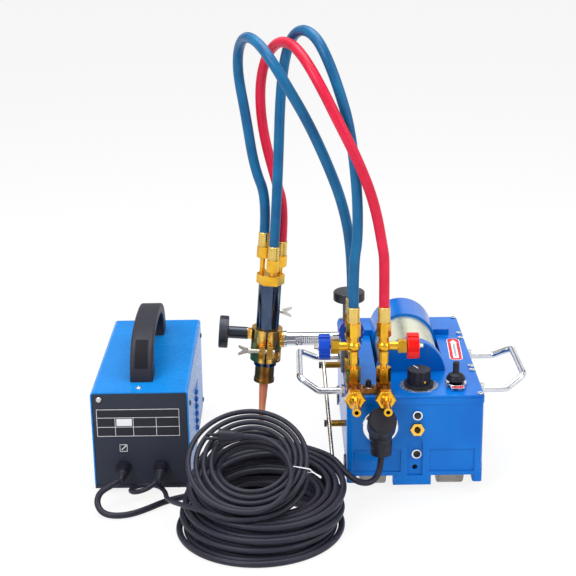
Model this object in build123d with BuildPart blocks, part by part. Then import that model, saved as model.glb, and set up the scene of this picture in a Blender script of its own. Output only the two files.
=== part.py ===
from build123d import *
import math
import os

# Magnetic pipe cutting machine: a crawler with a torch arm, its gas hoses, power box and cables

os.makedirs("parts", exist_ok=True)

# Crawler body, millimetres; local x runs from its left wall, y from its front wall, z from the floor
crawler_width = 196.0
crawler_depth = 338.0
crawler_top = 150.0
cover_thickness = 4.0
body_underside = 26.0
wall = 7.0
corner_radius = 8.0
leg_underside = 15.0
leg_width = 14.0
leg_depth = 22.0
rear_cover_length = 92.0
seam_y = crawler_depth - rear_cover_length
seam_gap = 0.6
band_height = 9.0
band_proud = 1.0
pocket_depth = 2.0
pocket_bottom = 32.0
pocket_top = 67.0
arch_offset = 0.5
arch_x = crawler_width / 2 + arch_offset
arch_width = 21.8
left_pocket_x = 10.0
left_pocket_gap = 9.6
left_pocket_width = arch_x - arch_width / 2 - left_pocket_gap - left_pocket_x
right_pocket_gap = 10.6
right_pocket_x = arch_x + arch_width / 2 + right_pocket_gap
right_pocket_inset = 12.0
right_pocket_width = crawler_width - right_pocket_inset - right_pocket_x
arch_top = 87.0
arch_depth = 3.0
foot_offset = 3.5
foot_x = crawler_width / 2 - foot_offset
foot_width = 55.0
foot_depth = 13.0
foot_underside = 11.0

# Wheels, axles and drive
wheel_radius = 27.0
wheel_width = 38.0
wheel_inset_left = 20.0
wheel_inset_right = 25.0
wheel_chamfer = 1.5
axle_radius = 7.0
axle_inset = 36.0
bush_radius = 12.0
bush_flange_radius = 16.0
bush_flange = 2.5
running_gap = 0.05
free_gap = 0.3
worm_wheel_width = 14.0
worm_wheel_teeth = 30
worm_radius = 9.0
worm_length = 34.0
worm_pitch = 5.0
worm_groove = 1.6
drive_shaft_radius = 5.0
plate_thickness = 6.0
plate_width = 52.0
plate_underside = 36.0
idler_pin_radius = 4.0
gear_module = 3.0
gear_width = 7.0
motor_gear_teeth = 14
idler_teeth = 16
drive_gear_teeth = 13

# Motor, lying along the crawler
motor_offset = 2.0
motor_x = crawler_width / 2 + motor_offset
motor_z = 147.0
motor_radius = 46.0
motor_wall = 3.0
bracket_radius = 51.0
bracket_y = 96.0
bracket_thickness = 16.0
bracket_wall = 5.0
bell_radius = 50.0
bell_inset = 34.0
bell_rear_y = crawler_depth - bell_inset
bell_length_share = 0.395
sleeve_rear_y = bell_rear_y - bell_length_share * (bell_rear_y - bracket_y)
bell_wall = 4.0
bell_foot_inset = 22.0
bell_foot_depth = 34.0
bell_foot_height = 9.0
cutout_margin = 2.0
stator_wall = 8.0
rotor_radius = 33.0
rotor_inset = 22.0
rotor_shaft_radius = 5.0

# Speed dial and switch on the front cover
dial_offset = 6.0
dial_x = motor_x + dial_offset
dial_y = 40.0
dial_plate_radius = 28.0
dial_plate_thickness = 1.2
knob_skirt_radius = 21.5
knob_skirt_height = 4.0
knob_radius = 17.0
knob_height = 24.0
knob_flutes = 10
flute_radius = 2.4
dial_shaft_radius = 3.0
dial_case_radius = 15.0
dial_case_height = 18.0
toggle_pitch = 53.0
toggle_x = dial_x + toggle_pitch
toggle_y = 36.0
toggle_ring_radius = 11.0
toggle_ring_height = 5.0
toggle_boot_gap = 2.8
toggle_boot_height = 11.0
toggle_lever_radius = 4.2
toggle_height = 38.0
toggle_case = 22.0

# Front wall fittings
socket_x = 48.0
socket_z = 104.0
socket_radius = 26.0
socket_thickness = 3.0
socket_barrel_radius = 17.0
socket_barrel_length = 24.0
fitting_offset = 2.5
fitting_x = arch_x + fitting_offset
fuse_z = 121.0
fuse_radius = 7.0
port_z = 99.0
port_flats = 18.0
lower_screw_z = 60.0
drain_z = 38.0
drain_radius = 4.0
fitting_proud = 4.0
fitting_bore = 3.6

# Side handles
handle_rod = 5.0
handle_front_y = 50.0
handle_span = 137.0
handle_z = 139.0
handle_straight = 39.0
handle_reach = 66.0
handle_rise = 16.0
handle_bend = 13.0
handle_nut_radius = 8.0
handle_nut = 5.0

# Guide rod on two studs on the left wall, nearer the wall at its foot
stud_radius = 4.7
upper_stud_length = 31.0
lower_stud_length = 26.0
stud_head_radius = 5.2
stud_head = 4.0
upper_stud_y = 172.0
upper_stud_z = 132.0
lower_stud_y = 72.0
lower_stud_z = 78.0
guide_rod_radius = 3.0
guide_rod_overhang = 6.0
guide_rod_foot = 74.0

# Gas manifold and valves
stack_x = 10.0
stack_spacing = 43.0
stack_y = 15.0
rear_stack_y = 56.0
manifold_height = 17.0
manifold_half = 10.0
bridge_height = 9.0
manifold_screw_radius = 4.0
washer_radius = 8.0
elbow_radius = 8.0
elbow_reach = 40.0
inlet_nut_flats = 25.0
inlet_nut_length = 12.0
nipple_radius = 5.2
nipple_rim_radius = 6.0
nipple_rim = 3.0
nipple_bore = 2.9
nipple_reach = 78.0
lower_nut_flats = 18.5
lower_nut_length = 22.0
neck_radius = 4.6
neck_length = 7.0
cross_radius = 7.2
cross_ball = 10.0
cross_below = 25.0
cross_above = 15.0
side_arm_radius = 6.4
side_arm_length = 20.0
side_nut_flats = 18.0
side_nut_length = 12.0
valve_knob_radius = 18.5
valve_knob_length = 16.0
valve_knob_gap = 1.0
valve_knob_lobes = 6
spindle_radius = 3.0
spindle_stub = 6.5
upper_nut_flats = 18.0
upper_nut_length = 20.0
ferrule_radius = 8.6
ferrule_length = 23.0
rear_side_nut = 8.0

# Arm
arm_x = 8.0
arm_y = 122.0
arm_z = 194.0
bar_radius = 10.0
bar_right_overhang = 8.0
rack_module = 1.0
rack_teeth_count = 29
rack_teeth_right = 3
rack_pinion_teeth = 12
rack_pinion_width = 9.0
pinion_shaft_radius = 4.0
tooth_share = 0.4
root_share = 1.2
tip_share = 0.9
flank_share = 0.3
arc_share = 0.45
post_width = 24.0
post_wall = 6.0
hand_knob_radius = 22.5
hand_knob_height = 14.0
knurl_depth = 0.9
arm_sleeve_radius = 9.3
arm_sleeve_top = 259.0
collar_radius = 12.5
collar_thickness = 4.0
spigot_radius = 6.0
spigot_length = 7.0

# Torch holder and torch; the torch frame leans by torch_lean about Y
torch_x = -114.5
torch_lean = 4.5
barrel_radius = 17.0
barrel_wall = 4.0
barrel_top = 89.0
barrel_bottom = -39.0
holder_radius = 23.0
holder_top = 19.0
holder_bottom = -31.0
slit_width = 2.6
lug_width = 8.6
lug_reach = 33.0
lug_height = 20.0
lug_z = -10.0
boss_radius = 12.5
boss_reach = 26.0
rack_housing_half = 13.0
rack_housing_reach = 33.0
guide_rib_width = 14.0
guide_rib_reach = 27.0
guide_rib_top = 48.0
torch_sleeve_radius = 9.3
torch_sleeve_start = 28.5
torch_sleeve_end = 57.5
torch_hex_flats = 15.0
torch_travel = 25.0
torch_knob_radius = 24.0
torch_rack_width = 9.0
barrel_nut_flats = 36.0
barrel_nut_height = 15.0
head_radius = 14.5
head_length = 22.0
head_ring_radius = 15.6
head_ring_length = 5.0
nozzle_radius = 7.0
nozzle_tip_radius = 4.0
nozzle_length = 66.0
nozzle_bore = 1.5
wing_shank_radius = 3.0
wing_length = 15.0
wing_span = 8.0
wing_thickness = 3.0
clamp_screw_start = 26.0
clamp_screw_end = 13.0
guide_screw_z = 38.0
guide_screw_reach = 22.0
inlet_stem_radius = 4.0
inlet_nut_radius = 8.2
inlet_ferrule_radius = 8.2

# Gas hoses, points in crawler coordinates, chosen by hand
hose_radius = 7.4
hose_start_gap = 0.3
hose_lead = 52.0
left_hose_route = [
    (-128, 140, 452), (-139, 156, 526), (-150, 166, 587), (-147, 146, 626), (-136, 112, 646), (-119, 74, 643),
    (-100, 44, 622), (-79, 38, 587), (-52, 42, 539), (-25, 50, 478), (-2, 56, 415),
]
front_hose_route = [
    (-92, 120, 482), (-89, 132, 552), (-83, 134, 605), (-73, 112, 642), (-58, 78, 659), (-40, 46, 653),
    (-24, 26, 624), (-8, 22, 579), (5, 22, 533), (15, 18, 450), (16, 15.5, 378),
]
red_hose_route = [
    (-97, 142, 432), (-115, 156, 501), (-119, 166, 561), (-110, 150, 609), (-92, 116, 637), (-73, 76, 640),
    (-56, 38, 626), (-36, 14, 594), (-11, 2, 544), (14, 2, 494), (38, 8, 432), (51, 14, 362),
]

# Power box
box_gap_x = 226.0
box_width = 140.0
box_depth = 310.0
box_front_y = 8.0
box_foot_height = 8.0
box_height = 150.0
sheet = 2.0
box_corner = 5.0
foot_radius = 6.5
foot_inset_x = 20.0
foot_inset_y = 22.0
vent_count = 6
vent_pitch = 12.0
vent_length = 60.0
vent_height = 5.0
vent_y = 167.0
vent_drop = 62.0
grip_front_y = 46.0
grip_span = 240.0
grip_width = 33.0
grip_foot = 42.0
grip_height = 65.0
grip_thickness = 13.0
grip_fillet = 3.0
grip_outer_bend = (0.95, 0.80, 0.58)
grip_inner_bend = (1.12, 0.69, 0.84)
gland_left = 43.0
gland_right = 97.0
gland_z = 40.0
gland_flats = 21.0
gland_nut = 6.0
gland_radius = 9.5
gland_tip_radius = 6.5
gland_length = 16.0
transformer_width = 78.0
transformer_depth = 66.0
transformer_height = 70.0
winding_radius = 32.0
winding_length = 90.0
board_width = 104.0
board_depth = 90.0
board_thickness = 1.6
board_post = 8.0

# Control cable: plug, coil and leads
control_radius = 4.5
plug_knuckle_radius = 20.5
plug_knuckle_length = 24.0
plug_knuckle_rise = 12.0
plug_neck_radius = 16.0
plug_neck_length = 22.0
plug_tilt = 45.0
plug_gland_radius = 15.0
plug_gland_length = 36.0
plug_edge = 3.0
control_exit_y = -20.0
control_exit_z = 71.0
arc_samples = 24
coil_x = -126.0
coil_front_y = -212.5
coil_radius = 112.0
coil_turns = 4
coil_layers = 4
coil_pitch = 10.3
coil_rise = 12.0
coil_fan = 2.0
coil_shift = 4.5
coil_set_back = 8.0
coil_entry_turn = 40.0
coil_exit_turn = 20.0
coil_exit_shift = 14.0
control_lead_route = [(48, -20, 46), (36, -37, 34), (17, -44, 36), (-1, -34, 45)]
control_entry_run = 20.0
control_exit_run = 26.0
control_tail_route = [
    (-232, -14, 4.8), (-262, -30, 4.8), (-284, -52, 4.8), (-308, -70, 4.8), (-332, -73, 4.8),
    (-348, -66, 7), (-356, -54, 16), (-352, -46, 28), (-337, -44, 37), (-323, -32, 40),
]

# Mains cable: coil, leads and plug
mains_radius = 3.5
mains_coil_x = -137.0
mains_front_y = -176.0
mains_front_z = 50.5
mains_coil_radius = 80.0
mains_turns = 4
mains_layers = 2
mains_pitch = 9.0
mains_rise = 10.0
mains_tilt = 23.0
mains_fan = 10.0
mains_shift = 1.4
mains_cross_lift = 9.0
mains_end_lift = 18.0
mains_end_radius = 28.0
mains_lead_route = [
    (-269, -32, 40), (-282, -47, 34), (-301, -46, 27), (-312, -30, 22), (-305, -12, 20), (-286, -5, 20),
    (-268, -15, 20.5), (-259, -40, 23), (-256, -66, 30), (-250, -93, 39), (-239, -118, 47), (-223, -139, 53),
    (-203, -156, 55), (-181, -169, 53.5),
]
mains_entry_run = 20.0
mains_plug_length = 34.0
mains_plug_radius = 11.0
plug_pin_length = 18.0
plug_pin_radius = 2.0
plug_pin_spacing = 12.7
plug_waist_share = 0.7
plug_relief_share = 0.35

# Fasteners
cover_screw_radius = 4.0
cover_screw_head = 2.0
overrun = 2.0

# The set's own frame: the origin lies on the floor, under the middle of the whole set
set_left = box_gap_x + box_width
set_right = crawler_width + handle_reach + handle_rod
left_x = (set_left - set_right) / 2
front_y = -(crawler_depth + band_proud - nipple_reach) / 2
lean = math.radians(torch_lean)
cover_seat = crawler_top - cover_thickness
finished = []


def spot(x, y, z):
    """A place given in crawler coordinates."""
    return (left_x + x, front_y + y, z)


def up(x, y, z):
    return Plane(origin=spot(x, y, z), x_dir=(1, 0, 0), z_dir=(0, 0, 1))


def forward(x, y, z):
    return Plane(origin=spot(x, y, z), x_dir=(1, 0, 0), z_dir=(0, -1, 0))


def backward(x, y, z):
    return Plane(origin=spot(x, y, z), x_dir=(-1, 0, 0), z_dir=(0, 1, 0))


def leftward(x, y, z):
    return Plane(origin=spot(x, y, z), x_dir=(0, -1, 0), z_dir=(-1, 0, 0))


def rightward(x, y, z):
    return Plane(origin=spot(x, y, z), x_dir=(0, 1, 0), z_dir=(1, 0, 0))


lean_x = Vector(math.cos(lean), 0, -math.sin(lean))
lean_z = Vector(math.sin(lean), 0, math.cos(lean))
torch_centre = Vector(*spot(torch_x, arm_y, arm_z))


def torch_spot(x, y, z):
    """A place given in the torch's own leaning frame, measured from where its axis meets the arm's."""
    return torch_centre + lean_x * x + Vector(0, y, 0) + lean_z * z


def torch_up(x, y, z):
    return Plane(origin=torch_spot(x, y, z), x_dir=lean_x, z_dir=lean_z)


def torch_left(x, y, z):
    return Plane(origin=torch_spot(x, y, z), x_dir=(0, -1, 0), z_dir=lean_x * -1)


def torch_forward(x, y, z):
    return Plane(origin=torch_spot(x, y, z), x_dir=lean_x, z_dir=(0, -1, 0))


def disc(plane, radius, length, mode=Mode.ADD):
    with BuildSketch(plane) as profile:
        Circle(radius)
    extrude(profile.sketch, amount=length, mode=mode)


def ring(plane, outer, inner, length, mode=Mode.ADD):
    with BuildSketch(plane) as profile:
        Circle(outer)
        Circle(inner, mode=Mode.SUBTRACT)
    extrude(profile.sketch, amount=length, mode=mode)


def block(plane, width, depth, length, mode=Mode.ADD):
    with BuildSketch(plane) as profile:
        Rectangle(width, depth)
    extrude(profile.sketch, amount=length, mode=mode)


def rounded(plane, width, depth, radius, length, mode=Mode.ADD):
    with BuildSketch(plane) as profile:
        RectangleRounded(width, depth, radius)
    extrude(profile.sketch, amount=length, mode=mode)


def hexagon(plane, flats, length, mode=Mode.ADD):
    with BuildSketch(plane) as profile:
        RegularPolygon(flats / 2, 6, major_radius=False)
    extrude(profile.sketch, amount=length, mode=mode)


def taper(plane, start_radius, end_radius, length, mode=Mode.ADD):
    with BuildSketch(plane) as near_end:
        Circle(start_radius)
    with BuildSketch(plane.offset(length)) as far_end:
        Circle(end_radius)
    loft([near_end.sketch, far_end.sketch], mode=mode)


def gear_points(teeth, module, share):
    """Trapezoid teeth round a pitch circle; share is the tooth's part of the pitch."""
    pitch_radius = teeth * module / 2
    root = pitch_radius - root_share * module
    tip = pitch_radius + tip_share * module
    step = 2 * math.pi / teeth
    flank = flank_share * module / pitch_radius
    points = []
    for tooth in range(teeth):
        centre = tooth * step + math.pi / 2
        half = step * share / 2
        corners = ((root, -half - flank), (tip, -half + flank), (tip, half - flank), (root, half + flank))
        for radius, angle in corners:
            points.append((radius * math.cos(centre + angle), radius * math.sin(centre + angle)))
    return points


def gear(plane, teeth, module, width):
    with BuildSketch(plane) as profile:
        with BuildLine():
            Polyline(*gear_points(teeth, module, tooth_share), close=True)
        make_face()
    extrude(profile.sketch, amount=width)


def finish(part, label):
    part.label = label
    finished.append(part)
    export_step(part, f"parts/{label}.step")


def finish_group(parts, label):
    """Pieces that are one node's separate solids."""
    finish(Compound([solid for part in parts for solid in part.solids()]), label)



# Crawler housing: an open cast frame with side legs and a foot block front and back
with BuildPart() as crawler_housing:
    with BuildSketch(up(crawler_width / 2, crawler_depth / 2, body_underside)):
        RectangleRounded(crawler_width, crawler_depth, corner_radius)
        Rectangle(crawler_width - 2 * wall, crawler_depth - 2 * wall, mode=Mode.SUBTRACT)
    extrude(amount=cover_seat - body_underside)
    with BuildSketch(up(crawler_width / 2, crawler_depth / 2, cover_seat - band_height)):
        RectangleRounded(
            crawler_width + 2 * band_proud, crawler_depth + 2 * band_proud, corner_radius + band_proud,
        )
        Rectangle(crawler_width - 2 * wall, crawler_depth - 2 * wall, mode=Mode.SUBTRACT)
    extrude(amount=band_height)
    for leg_x in (leg_width / 2, crawler_width - leg_width / 2):
        for leg_y in (leg_depth / 2, crawler_depth - leg_depth / 2):
            with BuildSketch(up(leg_x, leg_y, leg_underside)):
                RectangleRounded(leg_width, leg_depth, corner_radius / 2)
            extrude(amount=body_underside - leg_underside + wall)
    for block_y in (foot_depth / 2, crawler_depth - foot_depth / 2):
        block(
            up(foot_x, block_y, foot_underside), foot_width, foot_depth, body_underside - foot_underside + wall,
        )
    pocket_height = pocket_top - pocket_bottom
    for pocket_x, pocket_width in ((left_pocket_x, left_pocket_width), (right_pocket_x, right_pocket_width)):
        block(
            forward(pocket_x + pocket_width / 2, pocket_depth, pocket_bottom + pocket_height / 2),
            pocket_width, pocket_height, pocket_depth + overrun, Mode.SUBTRACT,
        )
    arch_half = arch_width / 2
    arch_straight = arch_top - arch_half - body_underside
    block(
        forward(arch_x, arch_depth, body_underside + arch_straight / 2),
        arch_width, arch_straight, arch_depth + overrun, Mode.SUBTRACT,
    )
    disc(forward(arch_x, arch_depth, arch_top - arch_half), arch_half, arch_depth + overrun, Mode.SUBTRACT)
    disc(forward(arch_x, wall + overrun, drain_z), drain_radius, wall + 2 * overrun, Mode.SUBTRACT)
    disc(
        forward(socket_x, wall + overrun, socket_z),
        socket_barrel_radius + free_gap, wall + 2 * overrun, Mode.SUBTRACT,
    )
    for axle_y in (axle_inset, crawler_depth - axle_inset):
        disc(
            rightward(-overrun, axle_y, wheel_radius), bush_radius, crawler_width + 2 * overrun, Mode.SUBTRACT,
        )
finish(crawler_housing.part, "crawler_housing")

# Top covers, cut out round the motor
motor_clear = bell_radius + cutout_margin
motor_opening_front = bracket_y + bracket_thickness
with BuildPart() as front_cover:
    front_length = seam_y - seam_gap / 2
    with BuildSketch(up(crawler_width / 2, front_length / 2, cover_seat)):
        Rectangle(crawler_width, front_length)
    extrude(amount=cover_thickness)
    fillet(front_cover.edges().filter_by(Axis.Z).group_by(Axis.Y)[0], corner_radius)
    block(
        up(motor_x, (motor_opening_front + seam_y) / 2, cover_seat - overrun),
        2 * motor_clear, seam_y - motor_opening_front + overrun, cover_thickness + 2 * overrun, Mode.SUBTRACT,
    )
    gear_slot_front = bracket_y + bracket_wall - overrun
    block(
        up(motor_x, (gear_slot_front + motor_opening_front) / 2, cover_seat - overrun),
        gear_module * (motor_gear_teeth + 4), motor_opening_front - gear_slot_front + overrun,
        cover_thickness + 2 * overrun, Mode.SUBTRACT,
    )
    disc(
        up(dial_x, dial_y, cover_seat - overrun),
        dial_shaft_radius + free_gap, cover_thickness + 2 * overrun, Mode.SUBTRACT,
    )
    disc(
        up(toggle_x, toggle_y, cover_seat - overrun),
        toggle_lever_radius + 2 * overrun, cover_thickness + 2 * overrun, Mode.SUBTRACT,
    )
    cover_top_edges = front_cover.faces().sort_by(Axis.Z)[-1].outer_wire().edges()
    chamfer(cover_top_edges.group_by(Axis.Y)[0], cover_thickness / 4)
finish(front_cover.part, "front_cover")

with BuildPart() as rear_cover:
    rear_length = crawler_depth - seam_y - seam_gap / 2
    with BuildSketch(up(crawler_width / 2, crawler_depth - rear_length / 2, cover_seat)):
        Rectangle(crawler_width, rear_length)
    extrude(amount=cover_thickness)
    fillet(rear_cover.edges().filter_by(Axis.Z).group_by(Axis.Y)[-1], corner_radius)
    block(
        up(motor_x, (seam_y + bell_rear_y) / 2, cover_seat - overrun),
        2 * motor_clear, bell_rear_y - seam_y + 2 * cutout_margin, cover_thickness + 2 * overrun, Mode.SUBTRACT,
    )
finish(rear_cover.part, "rear_cover")

screw_inset = 5.5
cover_screw_places = [
    (crawler_width - screw_inset, screw_inset),
    (crawler_width - screw_inset, bracket_y),
    (crawler_width - screw_inset, bracket_y + 3 * screw_inset),
    (crawler_width - screw_inset, seam_y - 2 * screw_inset),
    (crawler_width - screw_inset, seam_y + 2 * screw_inset),
    (crawler_width - screw_inset, crawler_depth - screw_inset),
    (screw_inset, seam_y - 2 * screw_inset),
    (screw_inset, seam_y + 2 * screw_inset),
    (screw_inset, crawler_depth - screw_inset),
]
with BuildPart() as cover_screws:
    for screw_x, screw_y in cover_screw_places:
        disc(up(screw_x, screw_y, crawler_top), cover_screw_radius, cover_screw_head)
        hexagon(
            up(screw_x, screw_y, crawler_top + cover_screw_head / 2),
            cover_screw_radius, cover_screw_head, Mode.SUBTRACT,
        )

# Motor: front bracket, sleeve, rear bell and stator
with BuildPart() as motor_bracket:
    disc(backward(motor_x, bracket_y, motor_z), bracket_radius, bracket_thickness)
    fillet(motor_bracket.edges().filter_by(GeomType.CIRCLE).group_by(Axis.Y)[0], cover_thickness / 2)
    disc(
        backward(motor_x, bracket_y + bracket_wall, motor_z),
        bracket_radius - bracket_wall, bracket_thickness, Mode.SUBTRACT,
    )
    block(
        up(motor_x, bracket_y + bracket_thickness / 2, motor_z - bracket_radius - overrun),
        2 * bracket_radius + overrun, bracket_thickness + overrun,
        crawler_top - motor_z + bracket_radius + overrun, Mode.SUBTRACT,
    )
finish(motor_bracket.part, "motor_bracket")

sleeve_front_y = bracket_y + bracket_thickness
with BuildPart() as motor_sleeve:
    ring(
        backward(motor_x, sleeve_front_y, motor_z),
        motor_radius, motor_radius - motor_wall, sleeve_rear_y - sleeve_front_y,
    )
    ring(
        backward(motor_x, sleeve_front_y, motor_z),
        motor_radius - motor_wall, rotor_shaft_radius + free_gap, motor_wall,
    )
finish(motor_sleeve.part, "motor_sleeve")

with BuildPart() as motor_bell:
    ring(
        backward(motor_x, sleeve_rear_y, motor_z),
        bell_radius, bell_radius - bell_wall, bell_rear_y - sleeve_rear_y,
    )
    bell_rear_edges = motor_bell.edges().filter_by(GeomType.CIRCLE).group_by(Axis.Y)[-1]
    fillet(bell_rear_edges.sort_by(SortBy.RADIUS)[-1], bell_wall * 0.9)
    ring(
        backward(motor_x, bell_rear_y - bell_wall, motor_z),
        bell_radius - bell_wall, rotor_shaft_radius + running_gap, bell_wall,
    )
    bell_foot_reach = crawler_width - bell_foot_inset - motor_x
    for foot_side in (-1, 1):
        block(
            up(
                motor_x + foot_side * (motor_clear + bell_foot_reach) / 2,
                bell_rear_y - bell_foot_depth, crawler_top,
            ),
            bell_foot_reach - motor_clear, bell_foot_depth, bell_foot_height,
        )
        block(
            up(
                motor_x + foot_side * (bell_radius + motor_clear) / 2,
                bell_rear_y - bell_foot_depth, crawler_top,
            ),
            bell_radius - motor_clear + 2 * bell_wall, bell_foot_depth, bell_foot_height,
        )
finish(motor_bell.part, "motor_bell")

stator_front = sleeve_front_y + rotor_inset
with BuildPart() as motor_stator:
    ring(
        backward(motor_x, stator_front, motor_z),
        motor_radius - motor_wall, motor_radius - motor_wall - stator_wall, sleeve_rear_y - stator_front,
    )
finish(motor_stator.part, "motor_stator")

# Drive: the motor's gear, an idler and the drive shaft, whose two worms turn both axles
motor_gear_radius = motor_gear_teeth * gear_module / 2
idler_radius = idler_teeth * gear_module / 2
drive_gear_radius = drive_gear_teeth * gear_module / 2
idler_z = motor_z - motor_gear_radius - idler_radius
drive_z = idler_z - idler_radius - drive_gear_radius
worm_wheel_radius = drive_z - wheel_radius - worm_radius - free_gap
gear_y = bracket_y + bracket_wall + free_gap
rear_axle_y = crawler_depth - axle_inset


def half_tooth_turn(plane, teeth):
    turn = math.pi / teeth
    x_dir = plane.x_dir * math.cos(turn) + plane.y_dir * math.sin(turn)
    return Plane(origin=plane.origin, x_dir=x_dir, z_dir=plane.z_dir)


with BuildPart() as motor_rotor:
    disc(backward(motor_x, stator_front, motor_z), rotor_radius, sleeve_rear_y - stator_front)
    disc(backward(motor_x, gear_y, motor_z), rotor_shaft_radius, bell_rear_y - gear_y)
    gear(
        half_tooth_turn(backward(motor_x, gear_y, motor_z), motor_gear_teeth),
        motor_gear_teeth, gear_module, gear_width,
    )
finish(motor_rotor.part, "motor_rotor")

with BuildPart() as idler_gear:
    gear(backward(motor_x, gear_y, idler_z), idler_teeth, gear_module, gear_width)
    disc(
        backward(motor_x, gear_y - overrun, idler_z),
        idler_pin_radius + running_gap, gear_width + 2 * overrun, Mode.SUBTRACT,
    )
finish(idler_gear.part, "idler_gear")

plate_front_y = gear_y + gear_width + overrun
with BuildPart() as gear_plate:
    plate_height = cover_seat - plate_underside
    block(
        backward(motor_x, plate_front_y, plate_underside + plate_height / 2),
        plate_width, plate_height, plate_thickness,
    )
    disc(
        backward(motor_x, plate_front_y - overrun, drive_z),
        drive_shaft_radius + running_gap, plate_thickness + 2 * overrun, Mode.SUBTRACT,
    )
    disc(
        backward(motor_x, plate_front_y - overrun, motor_z),
        motor_radius + free_gap, plate_thickness + 2 * overrun, Mode.SUBTRACT,
    )
    disc(backward(motor_x, gear_y, idler_z), idler_pin_radius, plate_front_y - gear_y)

rear_plate_y = rear_axle_y + worm_wheel_radius + free_gap
with BuildPart() as rear_hanger:
    block(
        backward(motor_x, rear_plate_y, plate_underside + plate_height / 2),
        plate_width / 2, plate_height, plate_thickness,
    )
    disc(
        backward(motor_x, rear_plate_y - overrun, drive_z),
        drive_shaft_radius + running_gap, plate_thickness + 2 * overrun, Mode.SUBTRACT,
    )
finish_group([gear_plate.part, rear_hanger.part], "shaft_hangers")

shaft_front_y = axle_inset - worm_length / 2 - overrun
with BuildPart() as drive_shaft:
    disc(
        backward(motor_x, shaft_front_y, drive_z),
        drive_shaft_radius, rear_plate_y + plate_thickness - shaft_front_y,
    )
    gear(
        half_tooth_turn(backward(motor_x, gear_y, drive_z), drive_gear_teeth),
        drive_gear_teeth, gear_module, gear_width,
    )
    worm_length_rear = min(worm_length, 2 * (rear_plate_y - overrun - rear_axle_y))
    for worm_y, length in ((axle_inset, worm_length), (rear_axle_y, worm_length_rear)):
        disc(backward(motor_x, worm_y - length / 2, drive_z), worm_radius, length)
        groove_count = int(length / worm_pitch) - 1
        for groove in range(groove_count):
            groove_y = worm_y + (groove - (groove_count - 1) / 2) * worm_pitch
            ring(
                backward(motor_x, groove_y - worm_groove / 2, drive_z),
                worm_radius + overrun, worm_radius - worm_groove, worm_groove, Mode.SUBTRACT,
            )
finish(drive_shaft.part, "drive_shaft")

left_wheel_x = wheel_inset_left
right_wheel_x = crawler_width - wheel_inset_right - wheel_width
for name, axle_y in (("front", axle_inset), ("rear", rear_axle_y)):
    with BuildPart() as axle:
        disc(rightward(-bush_flange, axle_y, wheel_radius), axle_radius, crawler_width + 2 * bush_flange)

    with BuildPart() as wheels:
        for wheel_x in (left_wheel_x, right_wheel_x):
            ring(rightward(wheel_x, axle_y, wheel_radius), wheel_radius, axle_radius, wheel_width)
        round_edges = wheels.edges().filter_by(GeomType.CIRCLE)
        rim_edges = round_edges.filter_by(lambda edge: edge.radius > 2 * axle_radius)
        chamfer(rim_edges, wheel_chamfer)
    finish(wheels.part, f"{name}_wheels")

    with BuildPart() as worm_wheel:
        gear(
            rightward(motor_x - worm_wheel_width / 2, axle_y, wheel_radius),
            worm_wheel_teeth, 2 * worm_wheel_radius / (worm_wheel_teeth + 2 * tip_share), worm_wheel_width,
        )
        disc(
            rightward(motor_x - worm_wheel_width / 2 - overrun, axle_y, wheel_radius),
            axle_radius, worm_wheel_width + 2 * overrun, Mode.SUBTRACT,
        )
    finish_group([axle.part, worm_wheel.part], f"{name}_axle")

with BuildPart() as axle_bushes:
    for axle_y in (axle_inset, rear_axle_y):
        for side_plane in (rightward(0, axle_y, wheel_radius), leftward(crawler_width, axle_y, wheel_radius)):
            ring(side_plane, bush_radius, axle_radius + running_gap, wall)
            ring(side_plane.offset(-bush_flange), bush_flange_radius, axle_radius + running_gap, bush_flange)
finish(axle_bushes.part, "axle_bushes")

# Speed dial: plate, turning knob and the control under the cover
with BuildPart() as dial_plate:
    ring(
        up(dial_x, dial_y, crawler_top),
        dial_plate_radius, dial_shaft_radius + free_gap, dial_plate_thickness,
    )
finish(dial_plate.part, "dial_plate")

with BuildPart() as speed_control:
    dial_case_z = cover_seat - dial_case_height
    ring(up(dial_x, dial_y, dial_case_z), dial_case_radius, dial_shaft_radius + running_gap, dial_case_height)
finish(speed_control.part, "speed_control")

knob_z = crawler_top + dial_plate_thickness + free_gap
with BuildPart() as speed_knob:
    disc(up(dial_x, dial_y, knob_z), knob_skirt_radius, knob_skirt_height)
    disc(up(dial_x, dial_y, knob_z + knob_skirt_height), knob_radius, knob_height - knob_skirt_height)
    flute_spread = knob_radius + flute_radius / 2
    for flute in range(knob_flutes):
        turn = 2 * math.pi * (flute + 0.5) / knob_flutes
        disc(
            up(
                dial_x + flute_spread * math.cos(turn), dial_y + flute_spread * math.sin(turn),
                knob_z + knob_skirt_height,
            ),
            flute_radius, knob_height, Mode.SUBTRACT,
        )
    chamfer(speed_knob.faces().sort_by(Axis.Z)[-1].outer_wire().edges(), cover_screw_head / 4)
    disc(up(dial_x, dial_y, dial_case_z), dial_shaft_radius, knob_z - dial_case_z)
finish(speed_knob.part, "speed_knob")

# Toggle switch: case and bush, boot and lever
with BuildPart() as toggle_switch:
    block(up(toggle_x, toggle_y, cover_seat - toggle_case), toggle_case, toggle_case, toggle_case)
    ring(
        up(toggle_x, toggle_y, crawler_top),
        toggle_ring_radius, toggle_lever_radius + 2 * overrun, toggle_ring_height,
    )
    disc(
        up(toggle_x, toggle_y, cover_seat - toggle_case / 2),
        toggle_lever_radius + overrun, toggle_case, Mode.SUBTRACT,
    )
finish(toggle_switch.part, "toggle_switch")

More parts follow.
